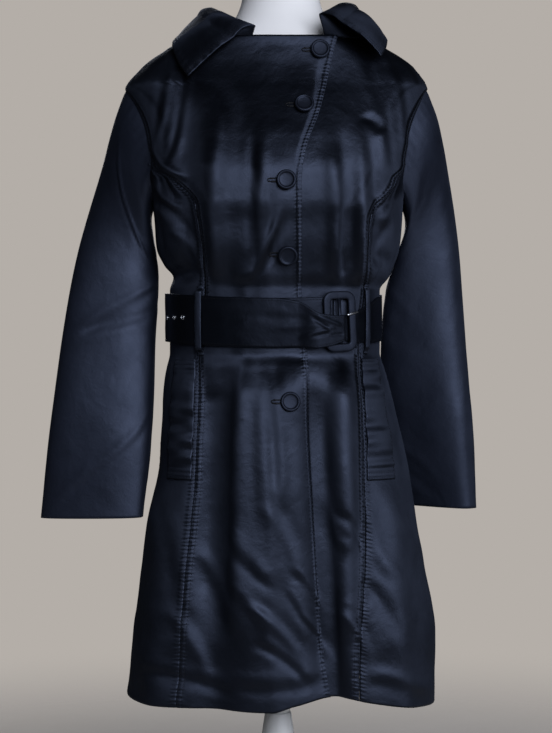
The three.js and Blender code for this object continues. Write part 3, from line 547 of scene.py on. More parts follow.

# %% [markdown]
# ## Creases one by one
# Worn sateen shows soft troughs and ridges: long ones hang from the shoulders and the belt, short ones gather
# at the armpits and round the front edge. Each row is one of them, from a start to an end on the front
# (face -1) or the back (face 1), with a sideways bow, a half width and a height. A twin is the hollow that
# lies beside a ridge.

# %% The creases
CREASES = rows_of("face from to bow wide out twin", [
    (-1, (-126, 1222), (-122, 985), 0, 17, -7, 0),
    (-1, (-84, 1216), (-80, 985), 0, 10, 4, 0),
    (-1, (-33, 1196), (-38, 1050), 0, 8, -3.4, 1),
    (-1, (3, 1089), (-50, 985), 4, 6, 3.2, 1),
    (-1, (-14, 1130), (-4, 1010), -3, 10, -2.2, -1),
    (-1, (-150, 1322), (-165, 1190), 6, 6, 3.2, -1),
    (-1, (-128, 1306), (-150, 1165), 5, 5, -2.6, 1),
    (-1, (-172, 1184), (-128, 1136), -6, 6, 4.0, -1),
    (-1, (-174, 1150), (-138, 1096), -5, 5, 3.6, 1),
    (-1, (-168, 1112), (-126, 1060), 5, 6, -3.6, -1),
    (-1, (-150, 1070), (-104, 1010), 6, 7, 2.4, 1),
    (-1, (116, 1222), (140, 1200), 4, 7, -3.0, 0),
    (-1, (146, 1322), (172, 1180), 6, 6, 2.4, 1),
    (-1, (120, 1312), (156, 1150), 5, 6, -1.8, -1),
    (-1, (172, 1160), (128, 1100), 6, 6, 2.4, 1),
    (-1, (168, 1120), (130, 1040), 6, 6, -2.2, -1),
    (-1, (-20, 884), (-2, 620), -6, 9, 1.8, -1),
    (-1, (88, 1190), (88, 988), 0, 7, -5, 0),
    (-1, (110, 1206), (110, 988), 2, 8, 5, 0),
    (-1, (70, 1190), (74, 988), 0, 9, 3.5, 0),
    (-1, (128, 1180), (134, 1082), 0, 7, -4, 0),
    (-1, (140, 1080), (136, 1020), 0, 15, -6, 0),
    (-1, (-92, 905), (-98, 540), 0, 22, -13, 0),
    (-1, (-48, 915), (-54, 540), 0, 13, 9, 0),
    (-1, (44, 885), (60, 450), 0, 14, -12, 0),
    (-1, (80, 905), (92, 450), 0, 13, 10, 0),
    (-1, (-12, 880), (6, 700), 6, 8, 2.6, -1),
    (-1, (20, 620), (62, 560), 6, 6, 1.6, -1),
    (-1, (8, 590), (60, 522), -5, 5, -1.6, 1),
    (-1, (30, 560), (70, 500), 4, 5, 1.5, 1),
    (-1, (-60, 600), (-10, 520), 8, 8, 1.4, -1),
    (-1, (66, 716), (92, 640), -5, 6, 2.0, 1),
    (-1, (80, 690), (112, 640), 4, 5, -1.8, -1),
    (-1, (86, 560), (118, 500), 4, 6, 1.8, 1),
    (-1, (-20, 700), (30, 610), 5, 9, 2.0, 1),
    (-1, (-70, 660), (-10, 590), -6, 8, -1.8, 1),
    (-1, (-40, 570), (30, 500), 6, 7, 2.2, 1),
    (-1, (-110, 640), (-60, 540), 7, 9, 1.8, -1),
    (-1, (-30, 520), (36, 470), 5, 6, -2.0, 1),
    (-1, (-150, 560), (-96, 470), 8, 9, 2.0, 1),
    (-1, (120, 700), (150, 600), -6, 9, 2.2, 1),
    (-1, (110, 600), (160, 520), 6, 8, -2.0, 1),
    (-1, (-180, 470), (-60, 452), 6, 8, -1.6, 1),
    (-1, (-60, 462), (60, 470), -6, 9, -1.6, 1),
    (-1, (120, 480), (205, 440), 5, 9, 1.8, -1),
    (-1, (-165, 700), (-140, 560), 6, 9, -1.8, 1),
    (1, (-120, 1300), (-150, 1130), 6, 8, 2.2, 1),
    (1, (118, 1300), (150, 1120), -6, 8, 2.2, -1),
    (1, (-60, 1200), (-20, 1000), 7, 10, 2.0, 1),
    (1, (55, 1180), (30, 1000), -6, 9, -2.0, -1),
    (1, (-150, 1130), (-90, 1040), 5, 7, 2.4, 1),
    (1, (150, 1120), (92, 1030), -5, 7, 2.4, -1),
    (1, (-70, 885), (-55, 560), 8, 10, 2.2, 1),
    (1, (20, 885), (8, 520), -8, 12, 2.0, 1),
    (1, (95, 885), (105, 600), 6, 9, -2.0, -1),
])


def beside_crease(row, x, z):
    """How far along a crease each point lies, as a share of its length, and how far to its side, in mm."""
    (x0, z0), (x1, z1) = row["from"], row["to"]
    length = math.hypot(x1 - x0, z1 - z0)
    ux, uz = (x1 - x0) / length, (z1 - z0) / length
    return ((x - x0) * ux + (z - z0) * uz) / length, (x - x0) * -uz + (z - z0) * ux


def crease_out(x, y, z):
    """The listed creases, as a height on the surface."""
    out = np.zeros_like(x)
    for row in CREASES:
        along, off = beside_crease(row, x, z)
        off = off - row["bow"] * 4 * np.clip(along, 0, 1) * (1 - np.clip(along, 0, 1))
        ends = ramp(-0.12, 0.22, along) * ramp(1.12, 0.78, along)
        beside = bell(off - row["twin"] * 1.7 * row["wide"], 1.1 * row["wide"])
        shape = bell(off, row["wide"]) - 0.55 * abs(row["twin"]) * beside
        out += ramp(0, 40, row["face"] * y) * ends * row["out"] * shape
    return out


def gather_out(degrees, z):
    """Small pleats that the belt draws in, above and below it, and the cloth's slack between the folds."""
    arc = np.mod(degrees + 180, 360) * (math.pi / 180) * MEAN_RADIUS
    above = ramp(990, 1010, z) * np.exp(-np.maximum(z - 1010, 0) / 60)
    below = ramp(900, 866, z) * np.exp(-np.maximum(866 - z, 0) / 75)
    pleats = 2.4 * above * lattice(arc / 13, z / 150, 3) + 2.2 * below * lattice(arc / 15, z / 170, 5)
    free = 1 - ramp(1024, 992, z) * ramp(868, 896, z)
    slack = 1.3 * lattice(arc / 52, z / 85, 7) + 0.55 * lattice(arc / 23, z / 31, 9)
    wavy = 1.5 * ramp(600, 500, z) * lattice(arc / 38, z / 40, 11)
    return pleats + free * (slack + wavy)


def detail_out(degrees, z):
    """Every height that neighbouring pieces share, so that they still meet at the seams."""
    x, y = ring(degrees, z)
    flat = 1 - ramp(1012, 992, z) * ramp(835, 897, z)
    return crease_out(x, y, z) * flat + gather_out(degrees, z)


print("creases:", len(CREASES))

# %% [markdown]
# ## Cloth sheets
# Every piece of cloth starts as a flat grid, as it would be cut, and its points are laid on the coat row by
# row. The grid is closer at its edges, where the seams pucker. The "cloth" map runs along the cloth in metres
# and carries the weave. Solidify then gives the cloth its thickness on the inner side.

# %% Sheet helpers
def unit(v):
    return v / np.maximum(np.linalg.norm(v, axis=-1, keepdims=True), 1e-9)


def relief(points, out, closed=False):
    """Moves a grid's points along its own normals."""
    if closed:
        around = np.roll(points, -1, 1) - np.roll(points, 1, 1)
        around[:, 0] = points[:, 1] - points[:, -2]
        around[:, -1] = around[:, 0]
    else:
        around = np.gradient(points, axis=1)
    normal = unit(np.cross(around, np.gradient(points, axis=0)))
    return points + normal * out[..., None]


def lengths(points, axis):
    """Distance run along a grid's rows (axis 1) or columns (axis 0)."""
    steps = np.linalg.norm(np.diff(points, axis=axis), axis=-1)
    pad = [(0, 0), (0, 0)]
    pad[axis] = (1, 0)
    return np.pad(np.cumsum(steps, axis=axis), pad)


def dense_at_edges(count):
    u = np.linspace(0, 1, count + 1)
    return u - 0.085 * np.sin(2 * np.pi * u)


def grid_mesh(name, points, closed=False, seam=None):
    """A mesh with a grid's points, its cloth map and its seam map; a closed one joins its last column to its
    first. The seam map is (distance from the nearest seam, distance along it) in mm."""
    rows, columns = points.shape[:2]
    grid = bmesh.new()
    bmesh.ops.create_grid(grid, x_segments=columns - 1, y_segments=rows - 1, size=0.5)
    mesh = bpy.data.meshes.new(name)
    grid.to_mesh(mesh)
    flat = np.empty(len(mesh.vertices) * 3)
    mesh.vertices.foreach_get("co", flat)
    flat = flat.reshape(-1, 3)
    low, high = flat.min(0), flat.max(0)
    j = np.rint((flat[:, 0] - low[0]) / (high[0] - low[0]) * (columns - 1)).astype(int)
    i = np.rint((flat[:, 1] - low[1]) / (high[1] - low[1]) * (rows - 1)).astype(int)
    mesh.vertices.foreach_set("co", (points[i, j] * MM).ravel())
    uv = np.stack([lengths(points, 1)[i, j], lengths(points, 0)[i, j]], -1) * MM
    corners = np.empty(len(mesh.loops), np.int32)
    mesh.loops.foreach_get("vertex_index", corners)
    mesh.uv_layers.new(name="cloth").data.foreach_set("uv", uv[corners].ravel())
    near = np.full(uv.shape, 1.0) if seam is None else seam[i, j] * MM
    mesh.uv_layers.new(name="seam").data.foreach_set("uv", near[corners].ravel())
    grid.clear()
    grid.from_mesh(mesh)
    if closed:
        bmesh.ops.remove_doubles(grid, verts=grid.verts, dist=1e-6)
    grid.to_mesh(mesh)
    grid.free()
    mesh.polygons.foreach_set("use_smooth", np.ones(len(mesh.polygons), bool))
    return mesh


def show(name, mesh, material, slot, *nodes):
    """Puts a mesh in the scene as a piece of the coat that stands for these frame nodes."""
    obj = bpy.data.objects.new(name, mesh)
    bpy.context.collection.objects.link(obj)
    mesh.materials.append(material)
    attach(obj, "root")
    if nodes:
        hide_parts(*nodes)
    return obj


def shell(obj, thick):
    """Gives a cloth grid its thickness, inward from its outer face."""
    solid = obj.modifiers.new("thickness", "SOLIDIFY")
    solid.thickness = thick * MM
    solid.offset = -1
    solid.use_even_offset = False
    return obj


def seam_map(points, first=True, last=True, low=False, high=False):
    """Each grid point's distance from the nearest of the chosen edges, and its place along that edge."""
    run, rise = lengths(points, 1), lengths(points, 0)
    far = np.full(run.shape, 999.0)
    across = np.minimum(run if first else far, run[:, -1:] - run if last else far)
    upright = np.minimum(rise if low else far, rise[-1:] - rise if high else far)
    return np.stack([np.minimum(across, upright), np.where(across < upright, rise, run)], -1)


def flat_size(points):
    """Width, length and area of the cut, in metres, from the smooth form before its creases."""
    width = max(0.01, round(lengths(points, 1)[:, -1].max() * MM, 4))
    length = round(lengths(points, 0)[-1].max() * MM, 4)
    a = np.cross(points[1:, 1:] - points[:-1, :-1], points[1:, :-1] - points[:-1, 1:])
    area = 0.5 * np.linalg.norm(a, axis=-1).sum() * MM * MM
    return (width, length), round(min(area, 0.999 * width * length), 6)


# %% Stitches
STITCH_PITCH, STITCH_LENGTH, STITCH_RADIUS = 4.4, 3.2, 0.3


def stitch_template():
    """One stitch as a small ball, its points and its faces, to be drawn out along the seam."""
    ball = bmesh.new()
    bmesh.ops.create_icosphere(ball, subdivisions=1, radius=1)
    verts = np.array([v.co[:] for v in ball.verts])
    faces = np.array([[v.index for v in f.verts] for f in ball.faces])
    ball.free()
    return verts, faces


def stitches(name, lines, pitch=STITCH_PITCH, radius=STITCH_RADIUS):
    """Rows of topstitching along polylines; each line is (points, normals) in mm."""
    ball, faces = stitch_template()
    verts, index, count = [], [], 0
    for points, normals in lines:
        run = np.concatenate([[0], np.cumsum(np.linalg.norm(np.diff(points, axis=0), axis=1))])
        at = np.arange(pitch / 2, run[-1], pitch)
        if len(at) == 0:
            continue
        middle = np.stack([np.interp(at, run, points[:, k]) for k in range(3)], -1)
        ahead = np.stack([np.interp(at + 1, run, points[:, k]) for k in range(3)], -1)
        up = unit(np.stack([np.interp(at, run, normals[:, k]) for k in range(3)], -1))
        along = unit(ahead - middle + 1e-6)
        side = unit(np.cross(up, along))
        shape = (ball[None, :, 0, None] * STITCH_LENGTH / 2 * along[:, None]
                 + ball[None, :, 1, None] * radius * side[:, None]
                 + ball[None, :, 2, None] * radius * up[:, None])
        block = middle[:, None] + shape + up[:, None] * 0.15
        verts.append(block.reshape(-1, 3))
        index.append((faces[None] + (np.arange(len(at)) * len(ball))[:, None, None] + count).reshape(-1, 3))
        count += block.shape[0] * block.shape[1]
    mesh = bpy.data.meshes.new(name)
    mesh.from_pydata((np.concatenate(verts) * MM).tolist(), [], np.concatenate(index).tolist())
    mesh.polygons.foreach_set("use_smooth", np.ones(len(mesh.polygons), bool))
    return show(name, mesh, thread, "sateen")


def grid_normals(points):
    return unit(np.cross(np.gradient(points, axis=1), np.gradient(points, axis=0)))


def line_across(points, from_edge, side, low=0.0, high=1.0):
    """A line on a grid that keeps its distance from the first (side 0) or last (side 1) column."""
    normals = grid_normals(points)
    run = lengths(points, 1)
    first, last = int(low * (len(points) - 1)), int(high * (len(points) - 1)) + 1
    line, up = [], []
    for i in range(first, last):
        at = from_edge if side == 0 else run[i, -1] - from_edge
        if at < 0 or at > run[i, -1]:
            continue
        line.append([np.interp(at, run[i], points[i, :, k]) for k in range(3)])
        up.append([np.interp(at, run[i], normals[i, :, k]) for k in range(3)])
    return np.array(line), np.array(up)


def line_along(points, from_edge, side):
    """The same for the first (side 0) or last (side 1) row."""
    line, up = line_across(points.transpose(1, 0, 2), from_edge, side)
    return line, -up


# %% [markdown]
# ## The coat's panels
# Five panels make the body: the top front, the under front, two side fronts and the back. The cutter joins
# them with seams that are topstitched twice, 2 and 8 mm from the edge; the thread draws the cloth in, so that
# it puckers between the two rows. The edge of the top front is drawn up into one raised cord instead.

# %% Panels
ROW_MM = 2.6
SEAM_ROWS = (1.8, 7.8)
RIPPLE_LENGTH, RIPPLE_AT, RIPPLE_REACH = 9.5, 4.8, 15


def pucker(distance, z, seed, strength=1.0):
    """The drawn-up cloth beside a seam."""
    ripple = np.sin(2 * np.pi * z / RIPPLE_LENGTH + 2.2 * lattice(z / 33, z * 0 + seed, seed))
    uneven = 0.65 + 0.5 * lattice(z / 48, z * 0, seed + 1)
    band = bell(distance - RIPPLE_AT, 4.2)
    far = np.exp(-np.maximum(distance, 0) / RIPPLE_REACH) * lattice(distance / 30, z / 11, seed + 2)
    rows = sum(-0.25 * bell(distance - at, 1.3) for at in SEAM_ROWS)
    return strength * (0.45 * band * ripple * uneven + 0.9 * far * uneven + rows - 0.45 * bell(distance, 1.2))


EDGE_CORD, CORD_TWIST = 5, 7.5


def rope(z, x):
    """The lapped edge is drawn up like a twisted cord, more so on its slanting part."""
    return (0.5 + 0.5 * ramp(1120, 1165, z)) * np.sin(2 * np.pi * (z + 1.1 * x) / CORD_TWIST)


def panel(start, end, low, high, columns, lift=None, seams=(1, 1), seed=0, roped=False):
    """A panel's outer face between two lines: (its grid, its smooth grid, its seam map)."""
    rows = np.linspace(low, high, int((high - low) / ROW_MM) + 1)
    trim = SEAM_GAP / 2 / MEAN_RADIUS * 180 / math.pi
    first, last = settled(start, rows) + trim, settled(end, rows) - trim
    u = dense_at_edges(columns)
    degrees = first[:, None] + (last - first)[:, None] * u[None]
    z = levelled(degrees, rows[:, None] + 0 * degrees)
    out = lift(degrees, z) if lift else 0 * z
    smooth = body_point(degrees, z, out)
    run = lengths(smooth, 1)
    extra = detail_out(degrees, z)
    for side, strength in enumerate(seams):
        distance = run if side == 0 else run[:, -1:] - run
        extra = extra + pucker(distance, z, seed + 10 * side, strength)
    if roped:
        from_end = run[:, -1:] - run
        extra = extra + (0.35 + 0.6 * rope(z, smooth[..., 0])) * bell(from_end - EDGE_CORD, 1.9)
        extra = extra - 0.5 * bell(NECK - 14 - z, 1.5) + 0.8 * ramp(NECK - 34, NECK - 18, z)
    seam = seam_map(smooth, seams[0] > 0, seams[1] > 0)
    return relief(smooth, extra), smooth, seam


def side_seam(seam, side):
    """The line of a front seam, which runs up into the side seam's line at the armhole."""
    def line(z):
        low = angle_at(read(seam, "z", "x", z), z)
        return low + (side * side_angle(z) - low) * ramp(SEAM_TOP - 22, SEAM_TOP, z)

    return line


def under_edge(z):
    return angle_at(LAP_START + 0 * z, z)


right_seam, left_seam = side_seam(SEAM_RIGHT, -1), side_seam(SEAM_LEFT, 1)

PANELS = [
    {"name": "front_right", "start": right_seam, "end": front_edge, "high": NECK, "columns": 110,
     "lift": lap_lift, "seams": (1, 0.6), "rows": [(0, 0), (1, 0)]},
    {"name": "front_left", "start": under_edge, "end": left_seam, "high": NECK, "columns": 66,
     "lift": None, "seams": (0, 1), "rows": [(0, 1), (1, 1)]},
    {"name": "side_front_right", "start": lambda z: -side_angle(z), "end": right_seam,
     "high": SEAM_TOP, "columns": 40, "lift": None, "seams": (0.5, 0.8), "rows": []},
    {"name": "side_front_left", "start": left_seam, "end": side_angle, "high": SEAM_TOP,
     "columns": 40, "lift": None, "seams": (0.8, 0.5), "rows": []},
    {"name": "back", "start": lambda z: 180 - side_angle(z), "end": lambda z: 180 + side_angle(z),
     "high": NECK, "columns": 120, "lift": None, "seams": (0.5, 0.5), "rows": []},
]
for number, row in enumerate(PANELS):
    grid, smooth, seam = panel(row["start"], row["end"], HEM, row["high"], row["columns"], row["lift"],
                               row["seams"], 20 * number, row["name"] == "front_right")
    mesh = grid_mesh(row["name"], grid, seam=seam)
    obj = shell(show(row["name"] + "_cloth", mesh, sateen, "sateen", row["name"]), WALL)
    size, area = flat_size(smooth)
    if row["rows"]:
        lines = [line_across(grid, SEAM_ROWS[which], side, 0.01, 0.985) for which, side in row["rows"]]
        stitches("stitching_" + row["name"], lines)
    print(row["name"], grid.shape, size, area)

# %% [markdown]
# ## Sleeves
# Each sleeve is one tube, set into the armhole and hanging empty, so it is flattened from front to back. Its
# cuff is a plain turned edge. Soft creases lie across it above the cuff and at the elbow. Its first rows are
# tucked under the armhole's edge, and the rows below them are softened, so that the cap turns without a ridge.

# %% Sleeves
SLEEVE_RIGHT = rows_of("t ox oy oz ix iy iz half", [
    (0.06, 228, 2, 1250, 184, 4, 1090, 65),
    (0.18, 247, 10, 1172, 179, 16, 1066, 53),
    (0.32, 270, 14, 1103, 172, 26, 1034, 42),
    (0.48, 292, 10, 1012, 171, 18, 985, 38),
    (0.64, 308, -2, 905, 175, -2, 890, 35),
    (0.82, 320, -20, 790, 178, -28, 780, 32),
    (1, 331, -30, 670, 188, -44, 672, 24),
])
SLEEVE_LEFT = rows_of("t ox oy oz ix iy iz half", [
    (0.06, 224, 2, 1248, 185, 6, 1092, 65),
    (0.18, 239, 12, 1180, 180, 22, 1066, 53),
    (0.32, 252, 20, 1106, 170, 42, 1034, 42),
    (0.48, 260, 18, 1012, 158, 54, 985, 37),
    (0.64, 266, 10, 905, 155, 70, 892, 33),
    (0.82, 272, 1, 790, 164, 94, 780, 29),
    (1, 277, 0, 679, 172, 118, 676, 23),
])
TUCK = 4
TUCK_DEPTH = 2.1
SLEEVE_TUCK = 0.008
SLEEVE_ROWS, SLEEVE_COLUMNS = 170, 96
SLEEVE_LENGTH = 640
SOFTENING_PASSES = 260
SLEEVE_CREASES = rows_of("t turn wide out", [
    ((0.46, 0.56), (150, 90), 12, 0.8),
    ((0.56, 0.62), (160, 80), 12, -0.8),
    ((0.78, 0.90), (150, 80), 9, 1.3),
    ((0.86, 0.97), (140, 70), 9, -1.3),
    ((0.92, 0.99), (165, 100), 7, 1.2),
    ((0.12, 0.32), (300, 240), 8, 2.4),
    ((0.44, 0.58), (200, 300), 9, 2.4),
    ((0.52, 0.60), (190, 310), 8, -2.2),
    ((0.78, 0.94), (210, 300), 9, 2.2),
])


def armhole_point(sign, turn, grow, out):
    """A point round the armhole, grow mm outside its edge: 0 degrees is the shoulder tip and 90 the front."""
    c, s = np.cos(np.radians(turn)), np.sin(np.radians(turn))
    tall = (SHOULDER_TIP - ARMPIT) / 2
    z = (ARMPIT + SHOULDER_TIP) / 2 + (tall + grow) * c
    wide = ARMHOLE_HALF + grow / MEAN_RADIUS * 60
    from_side = np.sign(s) * wide * np.sqrt(np.maximum(0, 1 - np.abs(c) ** ARMHOLE_SQUARE))
    degrees = sign * (90 - from_side)
    return body_point(degrees, z, out + detail_out(degrees, z), True)


def sleeve_grid(sign, table):
    """A sleeve's smooth outer face from the armhole to the cuff, and each point's place along and round it."""
    t = (np.linspace(0, 1, SLEEVE_ROWS + 1) ** 1.15)[:, None]
    turn = np.linspace(0, 360, SLEEVE_COLUMNS + 1)[None] * sign
    at = np.maximum(t, table[0]["t"])
    value = {k: read(table, "t", k, at) for k in ("ox", "oy", "oz", "ix", "iy", "iz", "half")}
    outer = np.stack([value["ox"], value["oy"], value["oz"]], -1)
    inner = np.stack([value["ix"], value["iy"], value["iz"]], -1)
    middle, across = (outer + inner) / 2, (outer - inner) / 2
    away = np.hypot(across[..., 0], across[..., 2])
    front = unit(np.stack([across[..., 1], -away, 0 * across[..., 0]], -1))
    c, s = np.cos(np.radians(turn)), np.sin(np.radians(turn))
    square = 0.85 - 0.25 * ramp(0.15, 0.6, t)
    hung = (middle + across * (np.sign(c) * np.abs(c) ** 0.9)[..., None]
            + front * value["half"][..., None] * (np.sign(s) * np.abs(s) ** square)[..., None])
    hung[..., 0] *= sign
    tucked = armhole_point(sign, turn, TUCK, -TUCK_DEPTH) + 0 * t[..., None]
    edge = armhole_point(sign, turn, -1, -0.9) + 0 * t[..., None]
    near = np.clip((t - SLEEVE_TUCK) / (table[0]["t"] - SLEEVE_TUCK), 0, 1)[..., None]
    inside = np.clip(t / SLEEVE_TUCK, 0, 1)[..., None]
    start = tucked + (edge - tucked) * inside
    points = start + (hung - start) * near
    soften = 0.5 * (ramp(SLEEVE_TUCK, 0.03, t) * ramp(0.42, 0.3, t))[1:-1, :, None]
    for _ in range(SOFTENING_PASSES):
        points[1:-1] += soften * ((points[:-2] + points[2:]) / 2 - points[1:-1])
    return points, t + 0 * turn, np.mod(turn * sign + 0 * t, 360)


def sleeve_detail(points, t, turn, seed):
    """Creases across the sleeve, the cap's easing and the cloth's slack."""
    out = np.zeros_like(t)
    for row in SLEEVE_CREASES:
        (t0, t1), (a0, a1) = row["t"], row["turn"]
        along = np.clip((turn - a0) / (a1 - a0), -0.3, 1.3)
        off = (t - (t0 + (t1 - t0) * along)) * SLEEVE_LENGTH
        ends = ramp(-0.25, 0.25, along) * ramp(1.25, 0.75, along)
        out += row["out"] * ends * (bell(off, row["wide"]) - 0.5 * bell(off - 1.8 * row["wide"], row["wide"]))
    wrap = 0.5 - 0.5 * np.cos(np.radians(turn))
    slack = 1.2 * lattice(wrap * 3 + seed, t * 7, seed) + 0.35 * lattice(turn / 24, t * 22, seed + 1)
    slack *= 1 - bell(np.mod(turn + 180, 360) - 180, 10)
    easing = np.sin(np.radians(turn) * 30 + 2 * lattice(turn / 20, t, seed))
    cap = 0.9 * np.exp(-t * SLEEVE_LENGTH / 16) * easing
    free = ramp(0.01, 0.07, t) * (1 - 0.6 * ramp(0.96, 1, t))
    return (out + slack) * free + cap * ramp(SLEEVE_TUCK, 0.02, t)


for sign, name, table in ((-1, "sleeve_right", SLEEVE_RIGHT), (1, "sleeve_left", SLEEVE_LEFT)):
    smooth, t, turn = sleeve_grid(sign, table)
    grid = relief(smooth, sleeve_detail(smooth, t, turn, 31 + sign), closed=True)
    grid[:, -1] = grid[:, 0]
    mesh = grid_mesh(name, grid, closed=True)
    # The sleeves wear the lighter copy of the sateen, whose lighter base tones are painted light.
    obj = shell(show(name + "_cloth", mesh, sleeve_sateen_painted_lighter, "sateen", name), WALL)
    size, area = flat_size(smooth)
    print(name, grid.shape, size, area)

# %% [markdown]
# ## Collar
# The collar stands up from the neck edge, rolls over and falls on the shoulders as two leaves. The wearer's
# left end is turned up, so that its edge is seen. It is two layers of cloth with a stiffener, sewn round and
# topstitched twice, 2 and 8 mm from the edge.

# %% Collar
COLLAR = rows_of("u turn rx ry rz ex ey ez", [
    (0, -15, -30, -88, 1347, -124, -93, 1278),
    (0.07, -33, -50, -78, 1356, -137, -80, 1298),
    (0.15, -58, -76, -50, 1373, -148, -46, 1330),
    (0.25, -90, -94, 0, 1387, -147, 4, 1341),
    (0.35, -125, -76, 50, 1387, -118, 86, 1330),
    (0.5, -180, 2, 70, 1384, 0, 100, 1316),
    (0.65, -235, 78, 50, 1389, 118, 86, 1332),
    (0.75, -270, 95, 0, 1392, 147, 4, 1344),
    (0.85, -302, 84, -52, 1384, 152, -52, 1334),
    (0.93, -322, 66, -76, 1370, 147, -90, 1315),
    (1, -333, 56, -88, 1362, 140, -110, 1301),
])
COLLAR_WALL, COLLAR_INSET, COLLAR_ROLL, LEAF_BULGE = 2, 0.6, 7, 3
COLLAR_FOLD = 0.36
COLLAR_ACROSS, COLLAR_AROUND, LEAF_FIRST_ROW = 56, 230, 24
LEAF_DEPTH, COLLAR_DEPTH, COLLAR_LENGTH = 108, 130, 560


def collar_grid(across, around):
    v = np.linspace(0, 1, across + 1)[:, None]
    u = np.linspace(0, 1, around + 1)[None]
    value = {k: read(COLLAR, "u", k, u) for k in ("turn", "rx", "ry", "rz", "ex", "ey", "ez")}
    turn = value["turn"]
    top = levelled(turn, NECK + 0 * turn)
    lift = np.where(turn > -180, lap_lift(turn, top), 0)
    neck = body_point(turn, top, lift, False)
    neck[..., 2] += 1.6 * SEAM_GAP
    roll = np.stack([value["rx"], value["ry"], value["rz"]], -1)
    edge = np.stack([value["ex"], value["ey"], value["ez"]], -1)
    away = edge - neck
    away[..., 2] = 0
    away = unit(away)
    neck = neck - away * (COLLAR_INSET + COLLAR_WALL)
    out = roll + away * COLLAR_ROLL
    stand = neck + (roll - neck) * np.clip(v / COLLAR_FOLD, 0, 1)[..., None]
    t = np.clip((v - COLLAR_FOLD) / (1 - COLLAR_FOLD), 0, 1)
    fall = edge - out
    up = np.array([0.0, 0.0, 1.0])
    normal = unit(up - fall * (fall[..., 2] / (fall ** 2).sum(-1))[..., None])
    leaf = roll + (out - roll) * ramp(0, 0.16, t)[..., None]
    leaf = leaf + fall * np.maximum(0, (t - 0.06) / 0.94)[..., None]
    arch = LEAF_BULGE * np.sin(np.pi * t) + COLLAR_ROLL * 0.5 * np.sin(np.pi * np.clip(t / 0.3, 0, 1))
    leaf = leaf + normal * arch[..., None]
    return np.where((v < COLLAR_FOLD)[..., None], stand, leaf), v + 0 * u, u + 0 * v


smooth, v, u = collar_grid(COLLAR_ACROSS, COLLAR_AROUND)
along = lengths(smooth, 1)
slack = 1.2 * lattice(u * 13, v * 3, 51) + 0.4 * lattice(u * 34, v * 9, 53)
slack = slack + 6 * ramp(0.72, 0.88, u) * np.sin(np.pi * np.clip((v - 0.4) / 0.6, 0, 1))
leaf_only = ramp(0.42, 0.6, v)
edge_band = pucker((1 - v) * LEAF_DEPTH, along, 55, 0.7)
edge_band = edge_band + pucker(u * COLLAR_LENGTH, v * COLLAR_DEPTH, 57, 0.7)
edge_band = edge_band + pucker((1 - u) * COLLAR_LENGTH, v * COLLAR_DEPTH, 59, 0.7)
collar_points = relief(smooth, (slack + edge_band) * leaf_only + 0.6 * slack * (1 - leaf_only))
collar_mesh = grid_mesh("collar", collar_points)
collar = shell(show("collar_cloth", collar_mesh, sateen, "sateen", "collar"), COLLAR_WALL)
size, area = flat_size(smooth)
leaf_points = collar_points[LEAF_FIRST_ROW:]
collar_lines = [line_along(leaf_points, at, 1) for at in SEAM_ROWS]
collar_lines += [line_across(leaf_points, at, side) for at in SEAM_ROWS for side in (0, 1)]
collar_thread = stitches("stitching_collar", collar_lines)
print("collar", size, area)

# %% [markdown]
# ## Belt
# The belt is one doubled strip. It starts at the buckle's centre bar, goes round the waist by the wearer's
# right and the back, passes under the buckle's right bar and over the other two, and lies on itself as the
# tail. The narrow buckle crushes it, so creases fan out from it over the tail.

# %% Belt
BELT_WALL, BELT_MIDDLE, BELT_RISE = 1.8, 941, 9
BELT_LEVEL = 946
BELT_HALF, BELT_STITCH_IN = 33.5, 3
BELT = rows_of("turn out half drop", [
    (29.5, 2.6, 33.5, 0),
    (-30, 2.6, 33.5, 0),
    (-250, 1.4, 33.5, 0),
    (-292, 1.4, 31, 2),
    (-308, 1.8, 25, 7),
    (-323.9, 2.2, 17.5, 10),
    (-325.8, 10.6, 17.5, 10),
    (-329, 11.2, 18.5, 11),
    (-333, 12.2, 20.5, 12),
    (-339, 13.4, 23.5, 11.5),
    (-350, 6.4, 31, 2),
    (-362, 5.2, 33.5, 0),
    (-441, 5.2, 33.5, 0),
])


def belt_height(degrees):
    return BELT_MIDDLE + (BELT_RISE / 2) * (1 - np.cos(2 * np.radians(degrees)))


plain_turn, buckled_turn = np.linspace(29.5, -320, 330), np.linspace(-320.4, -365, 110)
turn = np.concatenate([plain_turn, buckled_turn, np.linspace(-366, -441, 75)])[:, None]
v = np.linspace(-1, 1, 25)[None]
strip = body_point(turn + 0 * v, BELT_LEVEL, read(BELT, "turn", "out", turn) + BELT_WALL + 0 * v, False)
strip[..., 2] = belt_height(turn) - read(BELT, "turn", "drop", turn) + v * read(BELT, "turn", "half", turn)
smooth = strip
arc = -turn * (math.pi / 180) * MEAN_RADIUS
BELT_CREASES = rows_of("from to wide out", [
    ((46, 948), (72, 931), 2.6, -1.9),
    ((30, 921), (73, 934), 2.8, 1.9),
    ((44, 923), (68, 927), 2.2, -1.8),
    ((54, 950), (84, 938), 2.4, 1.6),
    ((-10, 934), (58, 938), 4.5, 1.0),
    ((-40, 950), (44, 944), 6.0, -0.9),
    ((-70, 930), (-20, 948), 7.0, 0.8),
    ((70, 924), (88, 926), 2.2, -1.2),
])
fan_creases = np.zeros_like(strip[..., 0])
for row in BELT_CREASES:
    along, off = beside_crease(row, strip[..., 0], strip[..., 2])
    fan_creases += row["out"] * bell(off, row["wide"]) * ramp(-0.2, 0.3, along) * ramp(1.15, 0.85, along)
fan_creases *= ramp(-318, -326, turn)
edge_rows = -0.3 * bell((1 - np.abs(v)) * BELT_HALF - BELT_STITCH_IN, 1.2)
slack = 0.5 * lattice(arc / 40, v * 1.2, 63) + 0.25 * lattice(arc / 13, v * 2.4, 65)
belt_points = relief(strip, fan_creases + edge_rows + slack * ramp(40, 20, turn))
